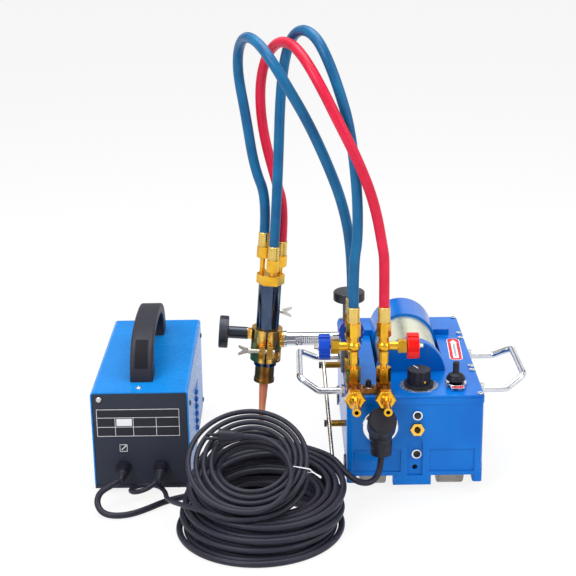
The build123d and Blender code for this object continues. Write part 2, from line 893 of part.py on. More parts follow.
boot_z = crawler_top + toggle_ring_height + toggle_boot_gap
with BuildPart() as toggle_lever:
    pivot_z = cover_seat - overrun
    disc(up(toggle_x, toggle_y, pivot_z), toggle_lever_radius / 2, boot_z - pivot_z)
    with Locations(spot(toggle_x, toggle_y, pivot_z)):
        Sphere(toggle_lever_radius + overrun - free_gap)
    taper(
        up(toggle_x, toggle_y, boot_z),
        toggle_ring_radius - overrun, toggle_lever_radius, toggle_boot_height,
    )
    disc(
        up(toggle_x, toggle_y, boot_z + toggle_boot_height),
        toggle_lever_radius, crawler_top + toggle_height - boot_z - toggle_boot_height,
    )
    fillet(toggle_lever.faces().sort_by(Axis.Z)[-1].edges(), toggle_lever_radius * 0.6)
finish(toggle_lever.part, "toggle_lever")

# Fittings on the front wall
with BuildPart() as panel_socket:
    disc(forward(socket_x, 0, socket_z), socket_radius, socket_thickness)
    chamfer(panel_socket.faces().sort_by(Axis.Y)[0].edges(), socket_thickness / 3)
    disc(backward(socket_x, 0, socket_z), socket_barrel_radius, socket_barrel_length)

with BuildPart() as fuse_cap:
    disc(forward(fitting_x, 0, fuse_z), fuse_radius, fitting_proud)
    disc(forward(fitting_x, -fitting_proud, fuse_z), fitting_bore, fitting_proud)

with BuildPart() as brass_port:
    hexagon(forward(fitting_x, 0, port_z), port_flats, fitting_proud)
    disc(forward(fitting_x, 0, port_z), fitting_bore, 2 * fitting_proud)

with BuildPart() as lower_screw:
    disc(forward(arch_x + overrun, arch_depth, lower_screw_z), fuse_radius, fitting_proud)
    hexagon(
        forward(arch_x + overrun, arch_depth - overrun, lower_screw_z),
        fuse_radius, fitting_proud, Mode.SUBTRACT,
    )
finish_group([panel_socket.part, fuse_cap.part, brass_port.part, lower_screw.part], "front_fittings")

# Side handles: bent rods screwed into the side walls
handle_rear_y = handle_front_y + handle_span
for name, wall_x, side in (("left_handle", 0, -1), ("right_handle", crawler_width, 1)):
    near = wall_x + side * band_proud
    bend_x = wall_x + side * handle_straight
    grip_x = wall_x + side * handle_reach
    grip_z = handle_z + handle_rise
    with BuildPart() as handle:
        with BuildLine() as handle_path:
            FilletPolyline(
                spot(near, handle_front_y, handle_z),
                spot(bend_x, handle_front_y, handle_z),
                spot(grip_x, handle_front_y + handle_bend, grip_z),
                spot(grip_x, handle_rear_y - handle_bend, grip_z),
                spot(bend_x, handle_rear_y, handle_z),
                spot(near, handle_rear_y, handle_z),
                radius=handle_bend,
            )
        outward = rightward if side > 0 else leftward
        handle_end = outward(near, handle_front_y, handle_z)
        with BuildSketch(handle_end) as rod_section:
            Circle(handle_rod)
        sweep(rod_section.sketch, path=handle_path.line)
        for leg_y in (handle_front_y, handle_rear_y):
            nut_plane = rightward(near, leg_y, handle_z) if side > 0 else leftward(near, leg_y, handle_z)
            hexagon(nut_plane, 2 * handle_nut_radius, handle_nut)
    finish(handle.part, name)

# Guide rod clamped between each stud's shoulder and its black head
upper_rod = Vector(*spot(guide_rod_radius - upper_stud_length, upper_stud_y, upper_stud_z))
lower_rod = Vector(*spot(guide_rod_radius - lower_stud_length, lower_stud_y, lower_stud_z))
rod_direction = (upper_rod - lower_rod).normalized()
stud_places = (
    (upper_stud_length, upper_stud_y, upper_stud_z),
    (lower_stud_length, lower_stud_y, lower_stud_z),
)
with BuildPart() as guide_studs:
    for stud_length, stud_y, stud_z in stud_places:
        disc(leftward(0, stud_y, stud_z), stud_radius, stud_length - 2 * guide_rod_radius - free_gap)

with BuildPart() as stud_heads:
    for stud_length, stud_y, stud_z in stud_places:
        disc(leftward(-stud_length - free_gap, stud_y, stud_z), stud_head_radius, stud_head)
finish_group([guide_studs.part, stud_heads.part], "guide_studs")

with BuildPart() as guide_rod:
    rod_plane = Plane(origin=lower_rod - rod_direction * guide_rod_foot, z_dir=rod_direction)
    rod_length = guide_rod_foot + (upper_rod - lower_rod).length + guide_rod_overhang
    disc(rod_plane, guide_rod_radius, rod_length)
finish(guide_rod.part, "guide_rod")

# Gas manifold on the crawler's front left corner
red_stack_x = stack_x + stack_spacing
manifold_top = crawler_top + manifold_height
pipe_z = crawler_top + manifold_height / 2
with BuildPart() as gas_manifold:
    for place_x in (stack_x, red_stack_x):
        rounded(
            up(place_x, stack_y, crawler_top),
            2 * manifold_half, 2 * manifold_half, overrun, manifold_height,
        )
        disc(forward(place_x, stack_y, pipe_z), elbow_radius, elbow_reach)
    block(
        up((stack_x + red_stack_x) / 2, stack_y, crawler_top),
        stack_spacing, 2 * washer_radius, bridge_height,
    )
    block(
        up(stack_x, (stack_y + rear_stack_y) / 2, crawler_top),
        2 * washer_radius, rear_stack_y - stack_y, manifold_height,
    )
    rounded(
        up(stack_x, rear_stack_y, crawler_top),
        2 * manifold_half, 2 * manifold_half, overrun, manifold_height,
    )
finish(gas_manifold.part, "gas_manifold")

with BuildPart() as manifold_screw:
    screw_x = (stack_x + red_stack_x) / 2
    screw_z = crawler_top + bridge_height
    disc(up(screw_x, stack_y, screw_z), washer_radius - free_gap, overrun)
    disc(up(screw_x, stack_y, screw_z + overrun), manifold_screw_radius, 2 * manifold_screw_radius)
    hexagon(
        up(screw_x, stack_y, screw_z + 2 * manifold_screw_radius),
        manifold_screw_radius, 2 * manifold_screw_radius, Mode.SUBTRACT,
    )
finish_group([cover_screws.part, manifold_screw.part], "cover_screws")

nut_front = stack_y - elbow_reach
inlets = []
for place_x in (stack_x, red_stack_x):
    with BuildPart() as inlet:
        hexagon(forward(place_x, nut_front, pipe_z), inlet_nut_flats, inlet_nut_length)
        chamfer(inlet.faces().sort_by(Axis.Y)[0].edges(), nipple_rim / 2)
        nipple_y = nut_front - inlet_nut_length
        nipple_length = nipple_reach + nipple_y
        taper(forward(place_x, nipple_y, pipe_z), inlet_nut_flats / 3, nipple_radius, nipple_length / 4)
        disc(forward(place_x, nipple_y, pipe_z), nipple_radius, nipple_length)
        disc(forward(place_x, nipple_rim - nipple_reach, pipe_z), nipple_rim_radius, nipple_rim)
        disc(
            forward(place_x, nut_front, pipe_z),
            nipple_bore, nipple_length + inlet_nut_length + overrun, Mode.SUBTRACT,
        )
    inlets.append(inlet.part)
finish_group(inlets, "hose_inlets")

# Needle valves: body with its nuts, knob with its spindle
lower_nut_top = manifold_top + lower_nut_length
cross_low = lower_nut_top + neck_length
cross_z = cross_low + cross_below
cross_top = cross_z + cross_above
upper_nut_top = cross_top + upper_nut_length
ferrule_top = upper_nut_top + ferrule_length


def valve_column(place_x, place_y):
    hexagon(up(place_x, place_y, manifold_top), lower_nut_flats, lower_nut_length)
    disc(up(place_x, place_y, lower_nut_top), neck_radius, neck_length)
    disc(up(place_x, place_y, cross_low), cross_radius, cross_top - cross_low)
    with Locations(spot(place_x, place_y, cross_z)):
        Sphere(cross_ball)
    hexagon(up(place_x, place_y, cross_top), upper_nut_flats, upper_nut_length)
    disc(up(place_x, place_y, upper_nut_top), ferrule_radius, ferrule_length)


def side_branch(plane, arm_length, nut_length):
    disc(plane, side_arm_radius, arm_length)
    hexagon(plane.offset(arm_length), side_nut_flats, nut_length)
    disc(plane.offset(arm_length), spindle_radius + running_gap, nut_length + overrun, Mode.SUBTRACT)


def knob_on(plane, arm_length, nut_length):
    start = arm_length + nut_length + valve_knob_gap
    disc(plane.offset(start), valve_knob_radius, valve_knob_length)
    for lobe in range(valve_knob_lobes):
        turn = 2 * math.pi * lobe / valve_knob_lobes
        lobe_plane = Plane(
            origin=plane.offset(start).from_local_coords(
                (valve_knob_radius * math.cos(turn), valve_knob_radius * math.sin(turn), 0)
            ),
            x_dir=plane.x_dir, z_dir=plane.z_dir,
        )
        disc(lobe_plane, flute_radius, valve_knob_length, Mode.SUBTRACT)
    disc(plane.offset(arm_length + free_gap), spindle_radius, nut_length + valve_knob_gap)
    disc(plane.offset(start + valve_knob_length), spindle_radius, spindle_stub)


valve_plans = (
    ("oxygen_knob", stack_x, stack_y, leftward, side_arm_length, side_nut_length),
    ("fuel_knob", red_stack_x, stack_y, rightward, side_arm_length, side_nut_length),
    ("cutting_knob", stack_x, rear_stack_y, backward, cross_ball, rear_side_nut - overrun),
)
valves = []
for knob_name, place_x, place_y, direction, arm_length, nut_length in valve_plans:
    side_plane = direction(place_x, place_y, cross_z)
    with BuildPart() as valve:
        valve_column(place_x, place_y)
        side_branch(side_plane, arm_length, nut_length)
    valves.append(valve.part)

    with BuildPart() as valve_knob:
        knob_on(side_plane, arm_length, nut_length)
    finish(valve_knob.part, knob_name)
finish_group(valves, "valve_bodies")

# Arm: post with the rack pinion, toothed bar and hand knob
rack_pitch = math.pi * rack_module
rack_pinion_radius = rack_pinion_teeth * rack_module / 2
pinion_tip = rack_pinion_radius + tip_share * rack_module
pinion_y = arm_y - bar_radius + tip_share * rack_module - rack_pinion_radius
cavity_radius = pinion_tip + 2 * free_gap
post_front = pinion_y - pinion_tip - post_wall
post_rear = arm_y + bar_radius + post_wall
post_top = arm_z + bar_radius + 2 * post_wall
with BuildPart() as arm_post:
    rounded(
        up(arm_x, (post_front + post_rear) / 2, crawler_top),
        post_width, post_rear - post_front, overrun, post_top - crawler_top,
    )
    disc(rightward(arm_x - post_width, arm_y, arm_z), bar_radius + running_gap, 2 * post_width, Mode.SUBTRACT)
    disc(
        up(arm_x, pinion_y, arm_z - rack_pinion_width / 2 - free_gap),
        cavity_radius, rack_pinion_width + 2 * free_gap, Mode.SUBTRACT,
    )
    disc(up(arm_x, pinion_y, post_top), arm_sleeve_radius, arm_sleeve_top - post_top)
    disc(
        up(arm_x, pinion_y, crawler_top + post_wall),
        pinion_shaft_radius + running_gap, arm_sleeve_top - crawler_top, Mode.SUBTRACT,
    )
finish(arm_post.part, "arm_post")

collar_right = torch_x + boss_reach + free_gap + collar_thickness
bar_end = arm_x + post_width / 2 + bar_right_overhang
rack_middle = arm_x - (rack_teeth_count // 2 - rack_teeth_right) * rack_pitch


def rack_notches(plane, count, width):
    """Spaces between rack teeth along the plane's x, centred on the pitch line; y points at the pinion."""
    half_space = (1 - tooth_share) * rack_pitch / 2
    slope = flank_share * rack_module
    with BuildSketch(plane) as notches:
        with GridLocations(rack_pitch, rack_pitch, count, 1):
            Polygon(
                (-half_space - 2 * slope, 2 * rack_module),
                (-half_space + slope, -root_share * rack_module),
                (half_space - slope, -root_share * rack_module),
                (half_space + 2 * slope, 2 * rack_module),
                align=None,
            )
    extrude(notches.sketch, amount=width, mode=Mode.SUBTRACT)


with BuildPart() as arm_bar:
    disc(rightward(collar_right, arm_y, arm_z), bar_radius, bar_end - collar_right)
    disc(rightward(collar_right - collar_thickness, arm_y, arm_z), collar_radius, collar_thickness)
    disc(leftward(collar_right - collar_thickness, arm_y, arm_z), spigot_radius, spigot_length)
    rack_plane = Plane(
        origin=spot(rack_middle, pinion_y + rack_pinion_radius, arm_z + bar_radius),
        x_dir=(1, 0, 0), z_dir=(0, 0, -1),
    )
    rack_notches(rack_plane, rack_teeth_count, 2 * bar_radius)
finish(arm_bar.part, "arm_bar")

with BuildPart() as arm_knob:
    arm_knob_z = arm_sleeve_top + free_gap
    disc(up(arm_x, pinion_y, arm_knob_z), hand_knob_radius, hand_knob_height)
    disc(
        up(arm_x, pinion_y, crawler_top + post_wall + free_gap),
        pinion_shaft_radius, arm_knob_z - crawler_top - post_wall,
    )
    gear(
        up(arm_x, pinion_y, arm_z - rack_pinion_width / 2),
        rack_pinion_teeth, rack_module, rack_pinion_width,
    )
    round_edges = arm_knob.edges().filter_by(GeomType.CIRCLE)
    chamfer(round_edges.filter_by(lambda edge: edge.radius > hand_knob_radius - 1e-3), knurl_depth)
finish(arm_knob.part, "arm_knob")

# Torch holder: split brass clamp with lugs, rack housing, guide rib and side boss
torch_pinion_y = barrel_radius - tip_share * rack_module + rack_pinion_radius
shaft_inner_end = rack_housing_half - post_wall / 2
lug_screw_y = -(barrel_radius + lug_reach + lug_width / 4) / 2
guide_screw_y = (barrel_radius + guide_rib_reach) / 2
holder_height = holder_top - holder_bottom
with BuildPart() as torch_holder:
    disc(torch_up(0, 0, holder_bottom), holder_radius, holder_height)
    for side in (-1, 1):
        block(
            torch_up(side * (slit_width + lug_width) / 2, -(barrel_radius + lug_reach) / 2, lug_z - lug_height / 2),
            lug_width, lug_reach - barrel_radius, lug_height,
        )
    block(
        torch_up(0, (barrel_radius + rack_housing_reach) / 2, -rack_housing_half),
        2 * rack_housing_half, rack_housing_reach - barrel_radius, 2 * rack_housing_half,
    )
    block(
        torch_up(0, (barrel_radius + guide_rib_reach) / 2, 0),
        guide_rib_width, guide_rib_reach - barrel_radius, guide_rib_top,
    )
    disc(rightward(torch_x + barrel_radius, arm_y, arm_z), boss_radius, boss_reach - barrel_radius)
    hexagon(
        torch_left(-rack_housing_half, torch_pinion_y, 0),
        torch_hex_flats, torch_sleeve_start - rack_housing_half,
    )
    disc(
        torch_up(0, 0, holder_bottom - overrun), barrel_radius + running_gap,
        holder_height + guide_rib_top, Mode.SUBTRACT,
    )
    block(
        torch_up(0, -(barrel_radius + lug_reach) / 2, holder_bottom - overrun),
        slit_width, lug_reach - barrel_radius + 4 * overrun, holder_height + 2 * overrun, Mode.SUBTRACT,
    )
    disc(
        torch_left(rack_pinion_width / 2 + free_gap, torch_pinion_y, 0),
        cavity_radius, rack_pinion_width + 2 * free_gap, Mode.SUBTRACT,
    )
    disc(
        torch_left(shaft_inner_end, torch_pinion_y, 0),
        pinion_shaft_radius + running_gap, torch_sleeve_start + shaft_inner_end + overrun, Mode.SUBTRACT,
    )
    disc(
        torch_left(2 * lug_width, lug_screw_y, lug_z),
        wing_shank_radius + running_gap, 4 * lug_width, Mode.SUBTRACT,
    )
    disc(
        torch_left(guide_rib_width, guide_screw_y, guide_screw_z),
        wing_shank_radius + running_gap, guide_rib_width, Mode.SUBTRACT,
    )
    disc(
        leftward(torch_x + boss_reach + overrun, arm_y, arm_z),
        spigot_radius + running_gap, spigot_length + overrun, Mode.SUBTRACT,
    )

with BuildPart() as torch_sleeve:
    ring(
        torch_left(-torch_sleeve_start, torch_pinion_y, 0),
        torch_sleeve_radius, pinion_shaft_radius + running_gap, torch_sleeve_end - torch_sleeve_start,
    )
finish_group([torch_holder.part, torch_sleeve.part], "torch_holder")

with BuildPart() as torch_knob:
    disc(torch_left(-torch_sleeve_end - free_gap, torch_pinion_y, 0), torch_knob_radius, hand_knob_height)
    disc(
        torch_left(shaft_inner_end - free_gap, torch_pinion_y, 0),
        pinion_shaft_radius, torch_sleeve_end + shaft_inner_end,
    )
    gear(
        Plane(origin=torch_spot(rack_pinion_width / 2, torch_pinion_y, 0), x_dir=lean_z, z_dir=lean_x * -1),
        rack_pinion_teeth, rack_module, rack_pinion_width,
    )
    round_edges = torch_knob.edges().filter_by(GeomType.CIRCLE)
    chamfer(round_edges.filter_by(lambda edge: edge.radius > torch_knob_radius - 1e-3), knurl_depth)
finish(torch_knob.part, "torch_knob")


def wing(plane, reach):
    """A butterfly wing screw's blade, pointing along the plane's x."""
    root_half = wing_shank_radius
    inner = wing_span - wing_thickness
    with BuildSketch(plane) as blade:
        with BuildLine():
            Polyline(
                (0, -root_half), (reach, -wing_span), (reach, -inner), (reach / 2, 0),
                (reach, inner), (reach, wing_span), (0, root_half), close=True,
            )
        make_face()
    extrude(blade.sketch, amount=wing_thickness / 2, both=True)


with BuildPart() as clamp_wing_screw:
    disc(
        torch_left(clamp_screw_end, lug_screw_y, lug_z),
        wing_shank_radius, clamp_screw_start + clamp_screw_end,
    )
    disc(
        torch_left(-clamp_screw_start + wing_thickness, lug_screw_y, lug_z),
        wing_shank_radius + overrun, wing_thickness,
    )
    wing(
        Plane(origin=torch_spot(-clamp_screw_start, lug_screw_y, lug_z), x_dir=lean_x * -1, z_dir=(0, 1, 0)),
        wing_length,
    )
finish(clamp_wing_screw.part, "clamp_wing_screw")

with BuildPart() as guide_wing_screw:
    disc(
        torch_left(guide_screw_reach, guide_screw_y, guide_screw_z),
        wing_shank_radius, guide_screw_reach - overrun,
    )
    wing(
        Plane(origin=torch_spot(guide_screw_reach - overrun, guide_screw_y, guide_screw_z), x_dir=lean_x, z_dir=(0, 1, 0)),
        wing_length,
    )
finish(guide_wing_screw.part, "guide_wing_screw")

# Torch: toothed barrel, cap nut, head, nozzle and the three gas inlets
with BuildPart() as torch_barrel:
    ring(torch_up(0, 0, barrel_bottom), barrel_radius, barrel_radius - barrel_wall, barrel_top - barrel_bottom)
    barrel_rack_plane = Plane(
        origin=torch_spot(torch_rack_width / 2 + free_gap, torch_pinion_y - rack_pinion_radius, 0),
        x_dir=lean_z, z_dir=lean_x * -1,
    )
    barrel_notches = 2 * math.ceil((torch_travel + pinion_tip) / rack_pitch) + 1
    rack_notches(barrel_rack_plane, barrel_notches, torch_rack_width + 2 * free_gap)
finish(torch_barrel.part, "torch_barrel")

with BuildPart() as barrel_nut:
    hexagon(torch_up(0, 0, barrel_top), barrel_nut_flats, barrel_nut_height)
    chamfer(barrel_nut.faces().sort_by(Axis.Z)[-1].edges(), knurl_depth)

with BuildPart() as torch_head:
    disc(torch_up(0, 0, barrel_bottom - head_length), head_radius, head_length)
    disc(torch_up(0, 0, barrel_bottom - head_length - head_ring_length), head_ring_radius, head_ring_length)
    disc(torch_up(0, 0, barrel_bottom), head_radius - overrun, head_length / 2)
finish(torch_head.part, "torch_head")

nozzle_start = barrel_bottom - head_length - head_ring_length
with BuildPart() as cutting_nozzle:
    taper(torch_up(0, 0, nozzle_start - nozzle_length), nozzle_tip_radius, nozzle_radius, nozzle_length)
    disc(torch_up(0, 0, nozzle_start - nozzle_length - overrun), nozzle_bore, nozzle_length, Mode.SUBTRACT)
finish(cutting_nozzle.part, "cutting_nozzle")

stem_z = barrel_top + barrel_nut_height
torch_inlet_places = {
    "left": (-13.0, 6.0, 22.0, 17.0, 21.0),
    "front": (2.0, -12.0, 6.0, 18.0, 20.0),
    "red": (13.0, 6.0, 10.0, 17.0, 21.0),
}
hose_starts = {}
with BuildPart() as torch_inlets:
    for name, (inlet_x, inlet_y, stem_length, nut_length, cap_length) in torch_inlet_places.items():
        disc(torch_up(inlet_x, inlet_y, stem_z), inlet_stem_radius, stem_length)
        hexagon(torch_up(inlet_x, inlet_y, stem_z + stem_length), 2 * inlet_nut_radius, nut_length)
        cap_z = stem_z + stem_length + nut_length
        disc(torch_up(inlet_x, inlet_y, cap_z), inlet_ferrule_radius, cap_length)
        hose_starts[name] = (inlet_x, inlet_y, cap_z + cap_length + hose_start_gap)
finish_group([barrel_nut.part, torch_inlets.part], "torch_inlets")


def corner_radii(points):
    """The radius of each corner's arc: 0.45 of the shorter run over the tangent of half the turn."""
    radii = []
    for before, corner, after in zip(points, points[1:], points[2:]):
        run_in = Vector(*corner) - Vector(*before)
        run_out = Vector(*after) - Vector(*corner)
        half_turn = math.radians(run_in.get_angle(run_out)) / 2
        radii.append(arc_share * min(run_in.length, run_out.length) / math.tan(half_turn))
    return radii


def tube(label, points, radius):
    """A round cord along straight runs joined by tangent arcs."""
    radii = corner_radii(points)
    with BuildPart() as cord:
        with BuildLine() as route:
            FilletPolyline(*points, radius=radii)
        start = Vector(*points[0])
        with BuildSketch(Plane(origin=start, z_dir=Vector(*points[1]) - start)) as section:
            Circle(radius)
        path = route.wire()
        sweep(section.sketch, path=path)
    length = path.length
    expected = math.pi * radius ** 2 * length
    share = cord.part.volume / expected
    print(label, "length", round(length), "least radius", round(min(radii)), "volume share", round(share, 3))
    finish(cord.part, label)


hose_plans = (
    ("left_hose", "left", left_hose_route, stack_x, rear_stack_y),
    ("front_hose", "front", front_hose_route, stack_x, stack_y),
    ("red_hose", "red", red_hose_route, red_stack_x, stack_y),
)
for label, start_name, middle, end_x, end_y in hose_plans:
    start_x, start_y, start_z = hose_starts[start_name]
    hose_points = [
        torch_spot(start_x, start_y, start_z),
        torch_spot(start_x, start_y, start_z + hose_lead),
        *[Vector(*spot(*place)) for place in middle],
        Vector(*spot(end_x, end_y, ferrule_top + 1.25 * hose_lead)),
        Vector(*spot(end_x, end_y, ferrule_top + hose_start_gap)),
    ]
    tube(label, [tuple(place) for place in hose_points], hose_radius)

# Power box: blue cover, black front panel, base with rear panel, feet and handle
box_x = -box_gap_x - box_width
box_mid_x = box_x + box_width / 2
box_bottom = box_foot_height
box_top = box_bottom + box_height
with BuildPart() as box_cover:
    rounded(
        backward(box_mid_x, box_front_y, box_bottom + box_height / 2),
        box_width, box_height, box_corner, box_depth,
    )
    rounded(
        backward(box_mid_x, box_front_y - overrun, box_bottom + box_height / 2 - sheet / 2),
        box_width - 2 * sheet, box_height - sheet, box_corner - sheet, box_depth + 2 * overrun, Mode.SUBTRACT,
    )
    block(
        backward(box_mid_x, box_front_y - overrun, box_bottom),
        box_width + 2 * overrun, 2 * box_corner, box_depth + 2 * overrun, Mode.SUBTRACT,
    )
    for vent in range(vent_count):
        slot_z = box_top - vent_drop - vent * vent_pitch
        with BuildSketch(leftward(box_x + box_width + overrun, box_front_y + vent_y, slot_z)) as slot:
            SlotOverall(vent_length, vent_height)
        extrude(slot.sketch, amount=sheet + 2 * overrun, mode=Mode.SUBTRACT)
finish(box_cover.part, "box_cover")

panel_width = box_width - 2 * sheet - 2 * free_gap
panel_height = box_height - sheet - box_corner - free_gap
with BuildPart() as front_panel:
    rounded(
        backward(box_mid_x, box_front_y + sheet / 2, box_bottom + box_corner + panel_height / 2),
        panel_width, panel_height, box_corner - sheet, sheet,
    )
    for gland_x in (gland_left, gland_right):
        disc(
            backward(box_x + gland_x, box_front_y - overrun, gland_z),
            gland_tip_radius + free_gap, 3 * overrun, Mode.SUBTRACT,
        )

with BuildPart() as box_base:
    block(
        up(box_mid_x, box_front_y + box_depth / 2, box_bottom),
        box_width - 2 * free_gap, box_depth, box_corner - free_gap,
    )
    rounded(
        backward(box_mid_x, box_front_y + box_depth - 1.5 * sheet, box_bottom + box_corner + panel_height / 2),
        panel_width, panel_height, box_corner - sheet, sheet,
    )
finish_group([front_panel.part, box_base.part], "box_chassis")

with BuildPart() as box_feet:
    for foot_side_x in (foot_inset_x, box_width - foot_inset_x):
        for foot_side_y in (foot_inset_y, box_depth - foot_inset_y):
            disc(up(box_x + foot_side_x, box_front_y + foot_side_y, 0), foot_radius, box_foot_height)
finish(box_feet.part, "box_feet")

grip_mid_y = grip_front_y + grip_span / 2


def grip_arch(half, rise, bend):
    haunch, spring, crown = bend
    with BuildLine() as arch:
        Bezier(
            (grip_mid_y - half, 0), (grip_mid_y - haunch * half, spring * rise),
            (grip_mid_y - crown * half, rise), (grip_mid_y, rise),
        )
        Bezier(
            (grip_mid_y, rise), (grip_mid_y + crown * half, rise),
            (grip_mid_y + haunch * half, spring * rise), (grip_mid_y + half, 0),
        )
        Line((grip_mid_y + half, 0), (grip_mid_y - half, 0))
    return arch


with BuildPart() as box_handle:
    with BuildSketch(rightward(box_mid_x - grip_width / 2, 0, box_top)) as grip_side:
        add(grip_arch(grip_span / 2, grip_height, grip_outer_bend).line)
        make_face()
        add(grip_arch(grip_span / 2 - grip_foot, grip_height - grip_thickness, grip_inner_bend).line)
        make_face(mode=Mode.SUBTRACT)
    extrude(grip_side.sketch, amount=grip_width)
    side_edges = box_handle.edges().filter_by(Axis.X, reverse=True)
    fillet(side_edges.filter_by(lambda edge: edge.center().Z > box_top + free_gap), grip_fillet)
finish(box_handle.part, "box_handle")

with BuildPart() as box_glands:
    for gland_x in (gland_left, gland_right):
        hexagon(forward(box_x + gland_x, box_front_y, gland_z), gland_flats, gland_nut)
        taper(
            forward(box_x + gland_x, box_front_y - gland_nut, gland_z),
            gland_radius, gland_tip_radius, gland_length,
        )
        disc(
            backward(box_x + gland_x, box_front_y, gland_z),
            gland_tip_radius, sheet + gland_nut,
        )
finish(box_glands.part, "box_glands")

# Inside the box: a transformer and a control board on the base
supply_y = box_front_y + box_depth / 2
supply_z = box_bottom + box_corner
with BuildPart() as power_supply:
    block(up(box_mid_x, supply_y, supply_z), transformer_width, transformer_depth, transformer_height)
    disc(
        forward(box_mid_x, supply_y + winding_length / 2, supply_z + transformer_height / 2),
        winding_radius, winding_length,
    )
    board_y = supply_y + transformer_depth / 2 + board_depth / 2 + 2 * board_post
    for post_x in (-board_width / 2 + board_post, board_width / 2 - board_post):
        disc(up(box_mid_x + post_x, board_y, supply_z), board_post / 2, board_post)
    block(up(box_mid_x, board_y, supply_z + board_post), board_width, board_depth, board_thickness)
finish(power_supply.part, "power_supply")

# Control plug on the crawler's front socket: a neck, an upturned round cap and a cord gland
plug_y = -socket_thickness
knuckle_axis = Vector(0, -math.sin(math.radians(plug_tilt)), math.cos(math.radians(plug_tilt)))
with BuildPart() as control_plug:
    disc(forward(socket_x, plug_y, socket_z), plug_neck_radius, plug_neck_length)
    knuckle_foot = Vector(*spot(socket_x, plug_y - plug_neck_length, socket_z + plug_knuckle_rise))
    knuckle = Plane(
        origin=knuckle_foot - knuckle_axis * (plug_knuckle_length / 4),
        x_dir=(1, 0, 0), z_dir=knuckle_axis,
    )
    disc(knuckle, plug_knuckle_radius, plug_knuckle_length)
    disc(up(socket_x, control_exit_y, control_exit_z), plug_gland_radius, plug_gland_length)
    taper(knuckle.offset(plug_knuckle_length), plug_knuckle_radius, plug_knuckle_radius - plug_edge, plug_edge)
finish(control_plug.part, "control_plug")


def coil_layer(x, y, z, radius, tilt):
    """Centre, rearward direction and normal of a layer of turns hinged at its front."""
    rear = Vector(0, math.cos(math.radians(tilt)), math.sin(math.radians(tilt)))
    normal = Vector(0, -rear.Z, rear.Y)
    return Vector(*spot(x, y, z)) + rear * radius, rear, normal


def half_turns(places, side):
    """Half circles through front and rear places in turn, each as its start, centre, reach and angle."""
    arcs = []
    for start, end in zip(places, places[1:]):
        reach = Vector(side, 0, 0) * ((end - start).length / 2)
        arcs.append((start, (start + end) / 2, reach, math.pi))
        side = -side
    return arcs


def arc_place(arc, share):
    """A place at a share of an arc's length."""
    start, centre, reach, angle = arc
    return centre + (start - centre) * math.cos(angle * share) + reach * math.sin(angle * share)


def arc_direction(arc, share):
    start, centre, reach, angle = arc
    return (reach * math.cos(angle * share) - (start - centre) * math.sin(angle * share)).normalized()


def least_self_gap(arcs, diameter):
    """Least clear distance between places of a wound wire that lie over three diameters apart along it."""
    places = [arc_place(arc, step / arc_samples) for arc in arcs for step in range(arc_samples)]
    along = [0]
    for before, after in zip(places, places[1:]):
        along.append(along[-1] + (after - before).length)
    least = along[-1]
    for first, place in enumerate(places):
        for second in range(first + 1, len(places)):
            if along[second] - along[first] > 3 * diameter:
                least = min(least, (places[second] - place).length)
    return least - diameter


def winding(label, arcs, radius):
    """A coil: one unbroken cord along tangent arcs, straight for one diameter at both ends."""
    entry = arcs[0][0]
    leaving = arc_place(arcs[-1], 1)
    entry_direction = arc_direction(arcs[0], 0)
    leaving_direction = arc_direction(arcs[-1], 1)
    coil_start = entry - entry_direction * (2 * radius)
    coil_end = leaving + leaving_direction * (2 * radius)
    with BuildPart() as cord:
        with BuildLine() as route:
            Line(coil_start, entry)
            for arc in arcs:
                ThreePointArc(arc[0], arc_place(arc, 1 / 2), arc_place(arc, 1))
            Line(leaving, coil_end)
        with BuildSketch(Plane(origin=coil_start, z_dir=entry_direction)) as section:
            Circle(radius)
        path = route.wire()
        sweep(section.sketch, path=path)
    share = cord.part.volume / (math.pi * radius ** 2 * path.length)
    gap = least_self_gap(arcs, 2 * radius)
    print(label, "length", round(path.length), "volume share", round(share, 3), "least self gap", round(gap, 2))
    finish(cord.part, label)
    return coil_start, entry_direction, coil_end, leaving_direction


# Control cable: the coil spirals in and out from its top layer down, its layers fanned at the rear
steps_in = [coil_radius - coil_pitch / 2 * step for step in range(2 * coil_turns)]
coil_places = []
coil_side = 1
for layer in reversed(range(coil_layers)):
    layer_centre, layer_rear, layer_normal = coil_layer(
        coil_x + coil_shift * layer, coil_front_y + coil_set_back * layer, control_radius + coil_rise * layer,
        coil_radius, coil_fan * layer,
    )
    if layer == coil_layers - 1:
        entry_angle = math.pi / 2 - math.radians(coil_entry_turn)
        entry_arm = Vector(math.cos(entry_angle), 0, 0) + layer_rear * math.sin(entry_angle)
        entry_reach = Vector(-math.sin(entry_angle), 0, 0) + layer_rear * math.cos(entry_angle)
        entry_arc = (
            layer_centre + entry_arm * coil_radius, layer_centre,
            entry_reach * coil_radius, math.radians(coil_entry_turn),
        )
    radii = steps_in if (coil_layers - layer) % 2 else steps_in[::-1]
    for radius in radii:
        coil_places.append(layer_centre + layer_rear * (coil_side * radius))
        coil_side = -coil_side
last_radius = coil_radius + coil_pitch / 2
coil_places.append(layer_centre + layer_rear * last_radius)
exit_radius = last_radius + coil_exit_shift
exit_arc = (
    coil_places[-1], layer_centre - layer_rear * coil_exit_shift,
    Vector(-exit_radius, 0, 0), math.radians(coil_exit_turn),
)
control_ends = winding(
    "control_coil", [entry_arc, *half_turns(coil_places, -1), exit_arc], control_radius
)

control_start = Vector(*spot(socket_x, control_exit_y, control_exit_z))
lead_points = [control_start]
lead_points += [Vector(*spot(*place)) for place in control_lead_route]
lead_points += [control_ends[0] - control_ends[1] * control_entry_run, control_ends[0]]
tube("control_lead", [tuple(place) for place in lead_points], control_radius)

